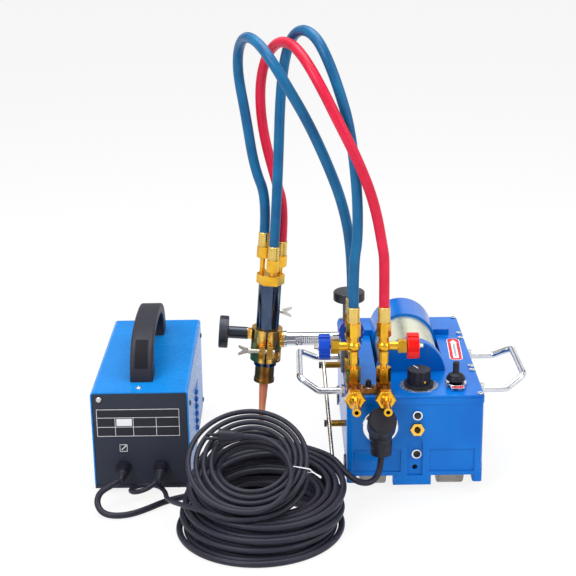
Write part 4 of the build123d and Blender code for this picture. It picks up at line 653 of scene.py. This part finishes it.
# Mains cable: from the power box through the tilted ring, across its front and into its middle to the plug
mainsLead = [
    (-0.269, -0.014, 0.040), (-0.269, -0.032, 0.040), (-0.282, -0.047, 0.034), (-0.301, -0.046, 0.027),
    (-0.312, -0.030, 0.022), (-0.305, -0.012, 0.020), (-0.286, -0.005, 0.020), (-0.268, -0.015, 0.0205),
    (-0.259, -0.040, 0.023), (-0.256, -0.066, 0.030), (-0.250, -0.093, 0.039), (-0.239, -0.118, 0.047),
    (-0.223, -0.139, 0.053), (-0.203, -0.156, 0.055), (-0.181, -0.169, 0.0535), (-0.164, -0.176, 0.0505),
]
stepsIn = [mainsCoil["radius"] - mainsCoil["pitch"] / 2 * step for step in range(2 * mainsCoil["turns"])]
ringPlaces = []
rearwards = -1
for layer in range(mainsCoil["layers"]):
    centre, rear, normal = coilLayer(mainsCoil, layer)
    for radius in stepsIn if layer % 2 == 0 else stepsIn[::-1]:
        sideways = mainsCoil["turnShift"] * (mainsCoil["radius"] - radius) / mainsCoil["pitch"]
        ringPlaces.append(centre + rear * (rearwards * radius) + Vector((sideways, 0, 0)))
        rearwards = -rearwards
ringPlaces.append(centre - rear * (mainsCoil["radius"] + mainsCoil["pitch"] / 2) + normal * mainsCoil["crossLift"])
ringPlaces.append(centre + rear * mainsCoil["endRadius"] + normal * mainsCoil["endLift"])
mainsPoints = [spot(*place) for place in mainsLead] + halfTurns(ringPlaces, 1)
mainsPoints += [ringPlaces[-1], ringPlaces[-1] + Vector((-0.007, 0, 0))]
mainsCable = layCord("mains_cable", mainsPoints, 0.0035, cableRubber)
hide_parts("mains_lead", "mains_coil")

cableTie = {"radius": 0.0009, "angle": -12.0, "tail": (0.013, -0.005, -0.007)}
centre, rear, normal = coilLayer(mainsCoil, mainsCoil["layers"] - 1)
tieTurn = math.radians(cableTie["angle"])
outward = Vector((math.cos(tieTurn), 0, 0)) + rear * math.sin(tieTurn)
middle = centre + outward * (mainsCoil["radius"] - mainsCoil["pitch"])
wide = mainsCoil["pitch"] + 0.0035 + cableTie["radius"]
high = 0.0037 + cableTie["radius"]
knot = middle + outward * (wide + 0.001)
tail = Vector(cableTie["tail"])
tiePoints = [knot + tail + rear * 0.0012, knot + tail * 0.4 - rear * 0.0006, knot + rear * 0.0008] + [
    middle + outward * (wide * u) + normal * (high * v)
    for u, v in ((1, 0.7), (0.9, 1), (0, 1), (-1, 1), (-1, -1), (0, -1), (0.9, -1), (1, -0.7))
] + [knot - rear * 0.0008, knot + tail * 0.4 + rear * 0.0006, knot + tail - rear * 0.0012]
tieLine = bpy.data.objects.new("tieLine", nurbsLine(tiePoints, cableTie["radius"], 3, 5))
bpy.context.collection.objects.link(tieLine)
tieMesh = bpy.data.meshes.new_from_object(tieLine.evaluated_get(bpy.context.evaluated_depsgraph_get()))
bpy.data.objects.remove(tieLine)
toObject("cable_tie", tieMesh, whitePrint, "crawler")
print("mains cable laid")


def lineLength(places):
    return sum((after - before).length for before, after in zip(places, places[1:]))


def tracedLine(points, steps=8):  # the smooth line of a route, as places close together
    bare = bpy.data.objects.new("bare", nurbsLine(points, 0.0, 0, steps))
    bpy.context.collection.objects.link(bare)
    mesh = bpy.data.meshes.new_from_object(bare.evaluated_get(bpy.context.evaluated_depsgraph_get()))
    places = [vertex.co.copy() for vertex in mesh.vertices]
    data = bare.data
    bpy.data.objects.remove(bare)
    bpy.data.curves.remove(data)
    bpy.data.meshes.remove(mesh)
    return places


lineLength(tracedLine(controlPoints))
lineLength(tracedLine(mainsPoints))

# Gas hoses: each in three stretches, cut 115 mm up from the torch and at the top of its arc
hoseRadius = 0.0074
hoses = {
    "left": {
        "inlet": (-0.013, 0.006, 0.1643), "stack": (0.010, 0.056), "finish": blueHose, "slot": "blue_hose",
        "route": [
            (-0.128, 0.140, 0.452), (-0.139, 0.156, 0.526), (-0.150, 0.166, 0.587), (-0.147, 0.146, 0.626),
            (-0.136, 0.112, 0.646), (-0.119, 0.074, 0.643), (-0.100, 0.044, 0.622), (-0.079, 0.038, 0.587),
            (-0.052, 0.042, 0.539), (-0.025, 0.050, 0.478), (-0.002, 0.056, 0.415),
        ],
    },
    "front": {
        "inlet": (0.002, -0.012, 0.1483), "stack": (0.010, 0.015), "finish": blueHose, "slot": "blue_hose",
        "route": [
            (-0.092, 0.120, 0.482), (-0.089, 0.132, 0.552), (-0.083, 0.134, 0.605), (-0.073, 0.112, 0.642),
            (-0.058, 0.078, 0.659), (-0.040, 0.046, 0.653), (-0.024, 0.026, 0.624), (-0.008, 0.022, 0.579),
            (0.005, 0.022, 0.533), (0.015, 0.018, 0.450), (0.016, 0.0155, 0.378),
        ],
    },
    "red": {
        "inlet": (0.013, 0.006, 0.1523), "stack": (0.053, 0.015), "finish": redHose, "slot": "red_hose",
        "route": [
            (-0.097, 0.142, 0.432), (-0.115, 0.156, 0.501), (-0.119, 0.166, 0.561), (-0.110, 0.150, 0.609),
            (-0.092, 0.116, 0.637), (-0.073, 0.076, 0.640), (-0.056, 0.038, 0.626), (-0.036, 0.014, 0.594),
            (-0.011, 0.002, 0.544), (0.014, 0.002, 0.494), (0.038, 0.008, 0.432), (0.051, 0.014, 0.362),
        ],
    },
}
ferruleTop = 0.2793


def tubeStretch(name, places, alongStart, radius, material, side, sides=20):
    tube = bmesh.new()
    layer = tube.loops.layers.uv.new("UVMap")
    rings = []
    alongs = []
    along = alongStart
    for index, place in enumerate(places):
        before = places[max(index - 1, 0)]
        after = places[min(index + 1, len(places) - 1)]
        direction = (after - before).normalized()
        side = (side - direction * side.dot(direction)).normalized()
        other = direction.cross(side)
        if index:
            along += (place - places[index - 1]).length
        alongs.append(along)
        rings.append([
            tube.verts.new(place + (side * math.cos(turn) + other * math.sin(turn)) * radius)
            for turn in (math.tau * step / sides for step in range(sides))
        ])
    for index, (before, after) in enumerate(zip(rings, rings[1:])):
        for step in range(sides):
            following = (step + 1) % sides
            face = tube.faces.new((before[step], before[following], after[following], after[step]))
            face.smooth = True
            corners = ((step, index), (step + 1, index), (step + 1, index + 1), (step, index + 1))
            for loop, (turn, row) in zip(face.loops, corners):
                loop[layer].uv = (turn / sides, alongs[row])
    mesh = bpy.data.meshes.new(name)
    tube.to_mesh(mesh)
    tube.free()
    piece = toObject(name, mesh, material, None)
    return piece, along, side


for label, hose in hoses.items():
    inletX, inletY, inletZ = hose["inlet"]
    stackX, stackY = hose["stack"]
    hosePoints = [torchSpot(inletX, inletY, inletZ), torchSpot(inletX, inletY, inletZ + 0.052)]
    hosePoints += [spot(*place) for place in hose["route"]]
    hosePoints += [spot(stackX, stackY, ferruleTop + 0.065), spot(stackX, stackY, ferruleTop)]
    places = tracedLine(hosePoints, 7)
    apex = max(range(len(places)), key=lambda index: places[index].z)
    travelled = 0.0
    lower = 0
    while travelled < 0.115:
        travelled += (places[lower + 1] - places[lower]).length
        lower += 1
    side = Vector((1, 0, 0))
    along = 0.0
    cuts = (
        ("torch", 0, lower, "holder", "torch"), ("holder", lower, apex, "arm", "holder"),
        ("crawler", apex, len(places) - 1, "crawler", "arm"),
    )
    for part, first, last, nearBody, farBody in cuts:
        stretch = places[first:last + 1]
        piece, along, side = tubeStretch(
            f"{label}_hose_{part}", stretch, along, hoseRadius, hose["finish"], side
        )
        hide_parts(f"{label}_hose")
        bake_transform(piece)
print("hoses hung")

# Dial, switch and knobs
rings = ringTree()
dial = {
    "centre": (0.106, 0.040), "tickRadius": 0.0248, "ticks": 31, "tick": (0.0030, 0.00045, 0.0003),
    "pointerDegrees": 116, "screwDegrees": -65,
}
dialX, dialY = dial["centre"]
toObject("dial_ticks", grown(rings, {
    "Count": dial["ticks"], "Radius": dial["tickRadius"], "Start": math.radians(-60), "Sweep": math.radians(300),
    "Block Size": dial["tick"], "Seed": 3, "Material": greyPrint,
}, Matrix.Translation(spot(dialX, dialY, 0.1513))), None, "crawler", smooth=False)
pointerTurn = math.radians(dial["pointerDegrees"])
pointerWay = Vector((math.cos(pointerTurn), math.sin(pointerTurn), 0))
toObject("dial_pointer", plateMesh(
    [bar(0, 0, 0.0125, 0.0015)], spot(dialX, dialY, 0.1755) + pointerWay * 0.0088, pointerWay,
    Vector((0, 0, 1)).cross(pointerWay), 0.0003,
), whitePrint, "speed_dial", smooth=False)
screwTurn = math.radians(dial["screwDegrees"])
screwWay = Vector((math.cos(screwTurn), math.sin(screwTurn), 0))
toObject("dial_set_screw", lathed(
    [(0, 0), (0, 0.0018), (0.0008, 0.0018), (0.0011, 0.0014), (0.0011, 0.0008), (0.0004, 0.0007), (0.0004, 0)],
    spot(dialX, dialY, 0.1605) + screwWay * 0.0166, screwWay, 16,
), brass, "speed_dial")

switchBoot = {
    "place": (0.159, 0.036, 0.1564), "bend": (0.1570, 0.1660),
    "profile": [
        (-19.0, 0), (-19.0, 2.1), (0, 2.1), (0, 9.0), (1.6, 9.0), (2.8, 9.8), (3.8, 13.2), (4.6, 13.9), (5.8, 13.9),
        (6.6, 12.0), (7.3, 12.9), (8.6, 12.8), (9.4, 10.5), (10.2, 11.2), (11.4, 10.8), (12.6, 8.4), (13.8, 5.5),
        (15.4, 4.8), (28.8, 4.6), (30.7, 4.0), (31.4, 2.6), (31.6, 0),
    ],
}
boot = toObject("switch_boot", lathed(
    inMetres(switchBoot["profile"]), spot(*switchBoot["place"]), (0, 0, 1), 40,
), blackPlastic, None)
bootX, bootY, bootZ = switchBoot["place"]
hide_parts("toggle_lever")
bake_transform(boot)
washer = [(0, 6.0), (0, 15.2), (0.3, 15.6), (0.9, 15.6), (1.1, 15.2), (1.1, 6.0), (0, 6.0)]
toObject("switch_washer", lathed(
    inMetres(washer), spot(bootX, bootY, bootZ - 0.0011), (0, 0, 1), 40,
), chrome, "crawler")
toObject("switch_tag_edge", plateMesh(
    [roundedPlate(0.0190, 0.0168, 0.0012, 3)], spot(0.1595, 0.0224, 0.15502), (1, 0, 0), (0, 1, 0), 0.00015,
), whitePrint, "crawler", smooth=False)
toObject("switch_tag", plateMesh(
    [roundedPlate(0.0174, 0.0152, 0.0008, 3)], spot(0.1595, 0.0224, 0.15517), (1, 0, 0), (0, 1, 0), 0.0001,
), redPrint, "crawler", smooth=False)

knurls = {
    "arm": (spot(0.008, 0.1069, 0.2663), Vector((0, 0, 1)), 0.0224, 66, (0.0011, 0.0012, 0.0116), "arm_wheel"),
    "torch": (
        spot(-0.1145, 0.1441, 0.194) - Vector((math.cos(torchLean), 0, -math.sin(torchLean))) * 0.0648,
        Vector((math.cos(torchLean), 0, -math.sin(torchLean))), 0.0239, 70, (0.0011, 0.0012, 0.0116), "torch_wheel",
    ),
}
for label, (centre, axis, radius, count, size, body) in knurls.items():
    toObject(f"{label}_knob_knurl", grown(rings, {
        "Count": count, "Radius": radius, "Start": 0.0, "Sweep": math.tau * (count - 1) / count,
        "Block Size": size, "Seed": 7, "Material": blackSteel,
    }, facing(centre, axis)), None, body, smooth=False)

valveCap = [(0, 0), (0, 5.2), (1.2, 5.6), (2.2, 5.2), (3.2, 4.0), (6.4, 3.6), (7.3, 2.7), (7.4, 0)]
valveEnds = {
    "oxygen": (spot(-0.0384, 0.015, 0.221), (-1, 0, 0)), "fuel": (spot(0.1014, 0.015, 0.221), (1, 0, 0)),
    "cutting": (spot(0.010, 0.0884, 0.221), (0, 1, 0)),
}
for label, (end, axis) in valveEnds.items():
    cap = lathed(inMetres(valveCap), end, axis, 24)
    toObject(f"{label}_valve_cap", cap, zincPlate, f"{label}_valve")
print("controls detailed")

# Crimped ferrules over the ends of the hoses
def crimped(length, radius, ripples=5):
    profile = [(0, 0), (0, radius + 0.0001), (0.0012, radius + 0.0004)]
    for ripple in range(ripples):
        start = 0.0030 + (length - 0.006) * ripple / ripples
        span = (length - 0.006) / ripples
        profile.append((start, radius + 0.0004))
        profile += [(start + span * share, radius + 0.0001) for share in (0.3, 0.6)]
    return profile + [(length - 0.0012, radius + 0.0004), (length, radius - 0.0002), (length, 0)]


leanUp = Vector((math.sin(torchLean), 0, math.cos(torchLean)))
torchFerrules = {"left": (0.1430, 0.021), "front": (0.1280, 0.020), "red": (0.1310, 0.021)}
for label, hose in hoses.items():
    stackX, stackY = hose["stack"]
    toObject(f"{label}_lower_ferrule", lathed(
        crimped(0.0232, 0.0086), spot(stackX, stackY, ferruleTop - 0.0230), (0, 0, 1),
    ), paleBrass, "crawler")
    inletX, inletY, inletZ = hose["inlet"]
    low, length = torchFerrules[label]
    toObject(f"{label}_upper_ferrule", lathed(
        crimped(length + 0.0005, 0.0082), torchSpot(inletX, inletY, low), leanUp,
    ), paleBrass, "torch")

# Cord glands and reliefs
relief = [(0, 0), (0, 8.2), (1.5, 8.2)]
for rib in range(5):
    start = 2.5 + 4.2 * rib
    relief += [(start, 7.6 - 0.55 * rib), (start + 2.0, 7.4 - 0.55 * rib)]
    relief += [(start + 2.6, 5.9 - 0.4 * rib), (start + 3.6, 5.8 - 0.4 * rib)]
relief += [(24, 4.7), (24.4, 3.4), (24.4, 0)]
for label, x in (("control", -0.323), ("mains", -0.269)):
    toObject(f"{label}_relief", lathed(
        inMetres(relief), spot(x, -0.0120, 0.040), (0, -1, 0), 24,
    ), blackPlastic, "crawler")
plugGland = [
    (0, 0), (0, 9.0), (1.5, 12.5), (5, 14.6), (9, 15.3), (16, 15.6), (17, 15.1), (19, 15.1), (20, 15.6),
    (25, 15.7), (26, 15.2), (28, 15.2), (32, 13.4), (37, 9.6), (41, 6.4), (42, 5.2), (42, 0),
]
toObject("control_plug_gland", lathed(
    inMetres(plugGland), spot(0.048, -0.020, 0.1085), (0, 0, -1), 36,
), blackPlastic, "crawler")
print("ferrules and glands made")

# Power box: hooded vents, table lines, earth sign and screws
boxVents = {
    "count": 6, "first": (-0.226, 0.145, 0.0990), "step": (0, 0, -0.012), "proud": 0.95, "height": 0.72,
    "profile": [
        (0, 0), (0.6, 2.6), (2.5, 4.2), (6, 5.0), (10, 4.8), (15, 3.5), (21, 2.3), (32, 1.6), (46, 1.1),
        (58, 0.7), (59, 0),
    ],
}
hoodMesh = lathed(inMetres(boxVents["profile"]), (0, 0, 0), (0, 1, 0), 20)
hoodMesh.transform(Matrix.Diagonal((boxVents["proud"], 1, boxVents["height"], 1)))
hood = bpy.data.objects.new("hood", hoodMesh)
bpy.context.collection.objects.link(hood)
toObject("box_vent_hoods", grown(rowTree(), {
    "Count": boxVents["count"], "Step": boxVents["step"], "Piece": hood, "Material": bluePaint,
}, Matrix.Translation(spot(*boxVents["first"]))), None, "crawler")
bpy.data.objects.remove(hood)

handleInset = {
    "x": -0.296, "width": 0.0186, "from": 0.14, "to": 0.50, "steps": 14, "proud": 0.0005, "sunk": 0.0004,
    "arch": ((0.046, 0.158), (0.052, 0.210), (0.0964, 0.223), (0.166, 0.223)),
}
archCorners = [Vector((0, y, z)) for y, z in handleInset["arch"]]


def archPlace(share):  # a place on the front half of the grip's outer curve, and its direction there
    first, second, third, last = archCorners
    rest = 1 - share
    place = first * rest ** 3 + second * 3 * share * rest ** 2 + third * 3 * share ** 2 * rest + last * share ** 3
    slope = (second - first) * rest ** 2 + (third - second) * 2 * share * rest + (last - third) * share ** 2
    return place, slope.normalized()


insetShape = bmesh.new()
proud, sunk = handleInset["proud"], handleInset["sunk"]
sections = []
for step in range(handleInset["steps"] + 1):
    share = handleInset["from"] + (handleInset["to"] - handleInset["from"]) * step / handleInset["steps"]
    place, slope = archPlace(share)
    outward = Vector((0, -slope.z, slope.y))
    sections.append([
        insetShape.verts.new(
            spot(handleInset["x"] + side * handleInset["width"] / 2, place.y, place.z) + outward * depth,
        )
        for side, depth in ((-1, proud), (1, proud), (1, -sunk), (-1, -sunk))
    ])
for before, after in zip(sections, sections[1:]):
    for step in range(4):
        insetShape.faces.new((before[step], before[step - 1], after[step - 1], after[step]))
insetShape.faces.new(sections[0])
insetShape.faces.new(sections[-1][::-1])
bmesh.ops.recalc_face_normals(insetShape, faces=insetShape.faces)
insetMesh = bpy.data.meshes.new("sunkScrewShade")
insetShape.to_mesh(insetMesh)
insetShape.free()
toObject("box_handle_inset", insetMesh, insetPlastic, "crawler", smooth=False)

table = {
    "centre": (-0.299, 0.008, 0.1111), "width": 0.118, "height": 0.0412, "line": 0.0007,
    "columns": (-0.033, -0.007, 0.026), "rows": (-0.0065, 0.0079), "patch": (-0.020, 0.0007, 0.022, 0.0108),
}
tableCentre = spot(*table["centre"])
line = table["line"]
lines = [
    bar(0, side * table["height"] / 2, table["width"] + line, line) for side in (-1, 1)
] + [bar(side * table["width"] / 2, 0, line, table["height"]) for side in (-1, 1)]
lines += [bar(0, row, table["width"], line) for row in table["rows"]]
lowerHeight = table["rows"][1] + table["height"] / 2
lowerMiddle = (table["rows"][1] - table["height"] / 2) / 2
lines += [bar(column, lowerMiddle, line, lowerHeight) for column in table["columns"]]
toObject("box_table", plateMesh(
    [bar(0, 0, table["width"], table["height"])], tableCentre, (1, 0, 0), (0, 0, 1), 0.0002,
), blackPlastic, "crawler", smooth=False)
toObject("box_table_lines", plateMesh(
    lines + [bar(*table["patch"])], tableCentre, (1, 0, 0), (0, 0, 1), 0.0004,
), whitePrint, "crawler", smooth=False)
signPlace = spot(-0.3217, 0.008, 0.0717)
signLines = [bar(0, side * 0.0052, 0.0112, 0.0008) for side in (-1, 1)]
signLines += [bar(side * 0.0052, 0, 0.0008, 0.0112) for side in (-1, 1)]
signLines.append(bar(0.0006, 0.0006, 0.0098, 0.0014, math.radians(45)))
toObject("box_sign", plateMesh(
    signLines, signPlace, (1, 0, 0), (0, 0, 1), 0.0003,
), whitePrint, "crawler", smooth=False)

screwHead = inMetres([(0, 0), (0, 4.4), (0.6, 4.3), (1.6, 3.2), (2.1, 1.4), (1.5, 0.9), (1.5, 0)])
boxScrews = [
    ((-0.3537, 0.008, 0.147), (0, -1, 0), zincPlate), ((-0.2978, 0.025, 0.158), (0, 0, 1), zincPlate),
    ((-0.226, 0.308, 0.1336), (1, 0, 0), blackSteel), ((-0.226, 0.3146, 0.0177), (1, 0, 0), blackSteel),
    ((-0.226, 0.0376, 0.1286), (1, 0, 0), blackSteel), ((-0.226, 0.036, 0.014), (1, 0, 0), blackSteel),
    ((-0.366, 0.308, 0.1336), (-1, 0, 0), blackSteel), ((-0.366, 0.0376, 0.1286), (-1, 0, 0), blackSteel),
]
for index, (place, axis, material) in enumerate(boxScrews):
    low = spot(*place) - Vector(axis) * 0.0001
    toObject(f"box_screw_{index}", lathed(screwHead, low, axis, 20), material, "crawler")
print("power box detailed")

# Plain label with an arrow on the crawler's top
topLabel = {"centre": (0.1755, 0.186, 0.150), "width": 0.020, "length": 0.094, "turnDegrees": -2.95}
labelTurn = math.radians(topLabel["turnDegrees"])
labelAcross = Vector((math.cos(labelTurn), math.sin(labelTurn), 0))
labelUp = Vector((-math.sin(labelTurn), math.cos(labelTurn), 0))
labelPlace = spot(*topLabel["centre"])
toObject("top_label_edge", plateMesh(
    [roundedPlate(topLabel["width"], topLabel["length"], 0.0075)], labelPlace, labelAcross, labelUp, 0.0003,
), whitePrint, "crawler", smooth=False)
toObject("top_label", plateMesh(
    [roundedPlate(topLabel["width"] - 0.0024, topLabel["length"] - 0.0024, 0.0063)],
    labelPlace, labelAcross, labelUp, 0.0005,
), redPrint, "crawler", smooth=False)
arrow = [
    (-0.0042, -0.040), (0.0042, -0.040), (0.0042, 0.026), (0.0062, 0.026), (0, 0.040), (-0.0062, 0.026),
    (-0.0042, 0.026),
]
toObject("top_label_arrow", plateMesh(
    [arrow], labelPlace, labelAcross, labelUp, 0.0007,
), whitePrint, "crawler", smooth=False)
toObject("top_label_shade", plateMesh(
    [bar(0, -0.006, 0.0030, 0.056)], labelPlace, labelAcross, labelUp, 0.0008,
), greyPrint, "crawler", smooth=False)

# Studio
studio = {"floorSize": 14.0, "keyPower": 34.0, "fillPower": 14.0, "topPower": 52.0, "ambient": 0.5}
floorMesh = bmesh.new()
bmesh.ops.create_grid(floorMesh, x_segments=1, y_segments=1, size=studio["floorSize"] / 2)
mesh = bpy.data.meshes.new("floor")
floorMesh.to_mesh(mesh)
floorMesh.free()
floor = bpy.data.objects.new("floor", mesh)
bpy.context.collection.objects.link(floor)
floor.location.z = -0.0005
floorFinish = Finish("floorWhite", Base_Color=(0.86, 0.86, 0.86, 1), Roughness=0.9)
rays = floorFinish.add("LightPath", output="Is Camera Ray")
glossy = Wire(floorFinish, rays.socket.node.outputs["Is Glossy Ray"])
glow = floorFinish.add("Emission", values={"Color": (1, 1, 1, 1), "Strength": 1.0})
blendShader = floorFinish.tree.nodes.new("ShaderNodeMixShader")
floorFinish.tree.links.new((rays * 0.86 + glossy * 0.6).socket, blendShader.inputs[0])
floorFinish.tree.links.new(floorFinish.shader.outputs[0], blendShader.inputs[1])
floorFinish.tree.links.new(glow.socket, blendShader.inputs[2])
floorFinish.tree.links.new(blendShader.outputs[0], floorFinish.tree.nodes["Material Output"].inputs["Surface"])
mesh.materials.append(floorFinish.material)

world = bpy.data.worlds.new("studioWorld")
bpy.context.scene.world = world
world.use_nodes = True
worldTree = world.node_tree
background = worldTree.nodes["Background"]
worldRays = worldTree.nodes.new("ShaderNodeLightPath")
direction = worldTree.nodes.new("ShaderNodeTexCoord")
bands = worldTree.nodes.new("ShaderNodeTexWave")  # soft dark gaps between bright screens, seen in metal only
bands.wave_type = "BANDS"
bands.bands_direction = "X"
bands.inputs["Scale"].default_value = 0.55
bands.inputs["Distortion"].default_value = 0.0
bands.inputs["Phase Offset"].default_value = 0.6
worldTree.links.new(direction.outputs["Generated"], bands.inputs["Vector"])
ramp = worldTree.nodes.new("ShaderNodeValToRGB")
ramp.color_ramp.elements[0].position = 0.05
ramp.color_ramp.elements[0].color = (0.10, 0.11, 0.13, 1)
ramp.color_ramp.elements[1].position = 0.45
ramp.color_ramp.elements[1].color = (1, 1, 1, 1)
worldTree.links.new(bands.outputs["Color"], ramp.inputs[0])
plainLight = worldTree.nodes.new("ShaderNodeMix")
plainLight.data_type = "RGBA"
plainLight.inputs[6].default_value = (studio["ambient"], studio["ambient"], studio["ambient"], 1)
worldTree.links.new(worldRays.outputs["Is Glossy Ray"], plainLight.inputs[0])
worldTree.links.new(ramp.outputs[0], plainLight.inputs[7])
cameraWhite = worldTree.nodes.new("ShaderNodeMix")
cameraWhite.data_type = "RGBA"
cameraWhite.inputs[7].default_value = (1, 1, 1, 1)
worldTree.links.new(worldRays.outputs["Is Camera Ray"], cameraWhite.inputs[0])
worldTree.links.new(plainLight.outputs[2], cameraWhite.inputs[6])
worldTree.links.new(cameraWhite.outputs[2], background.inputs["Color"])


def areaLight(name, place, target, width, height, power):
    data = bpy.data.lights.new(name, "AREA")
    data.shape = "RECTANGLE"
    data.size = width
    data.size_y = height
    data.energy = power
    light = bpy.data.objects.new(name, data)
    bpy.context.collection.objects.link(light)
    light.location = place
    light.rotation_euler = (Vector(target) - Vector(place)).to_track_quat("-Z", "Y").to_euler()
    return light


areaLight("key", (-1.3, -1.6, 1.9), (0, 0, 0.2), 1.2, 1.2, studio["keyPower"])
areaLight("fill", (1.7, -1.2, 1.2), (0, 0, 0.2), 1.2, 1.4, studio["fillPower"])
areaLight("top", (0, 0.3, 2.4), (0, 0, 0.2), 1.8, 1.8, studio["topPower"])

# Camera
view = {"place": (-0.0319, -1.9055, 0.8905), "lens": 84.375, "sensor": 36.0, "tiltDegrees": 72, "rollDegrees": -0.77}
cameraData = bpy.data.cameras.new("camera")
cameraData.sensor_width = view["sensor"]
cameraData.lens = view["lens"]
camera = bpy.data.objects.new("camera", cameraData)
bpy.context.collection.objects.link(camera)
tilt = Matrix.Rotation(math.radians(view["tiltDegrees"]), 4, "X")
roll = Matrix.Rotation(math.radians(view["rollDegrees"]), 4, "Z")
camera.matrix_world = Matrix.Translation(view["place"]) @ tilt @ roll
bpy.context.scene.camera = camera
bpy.context.scene.view_settings.view_transform = "Standard"
print("studio ready")
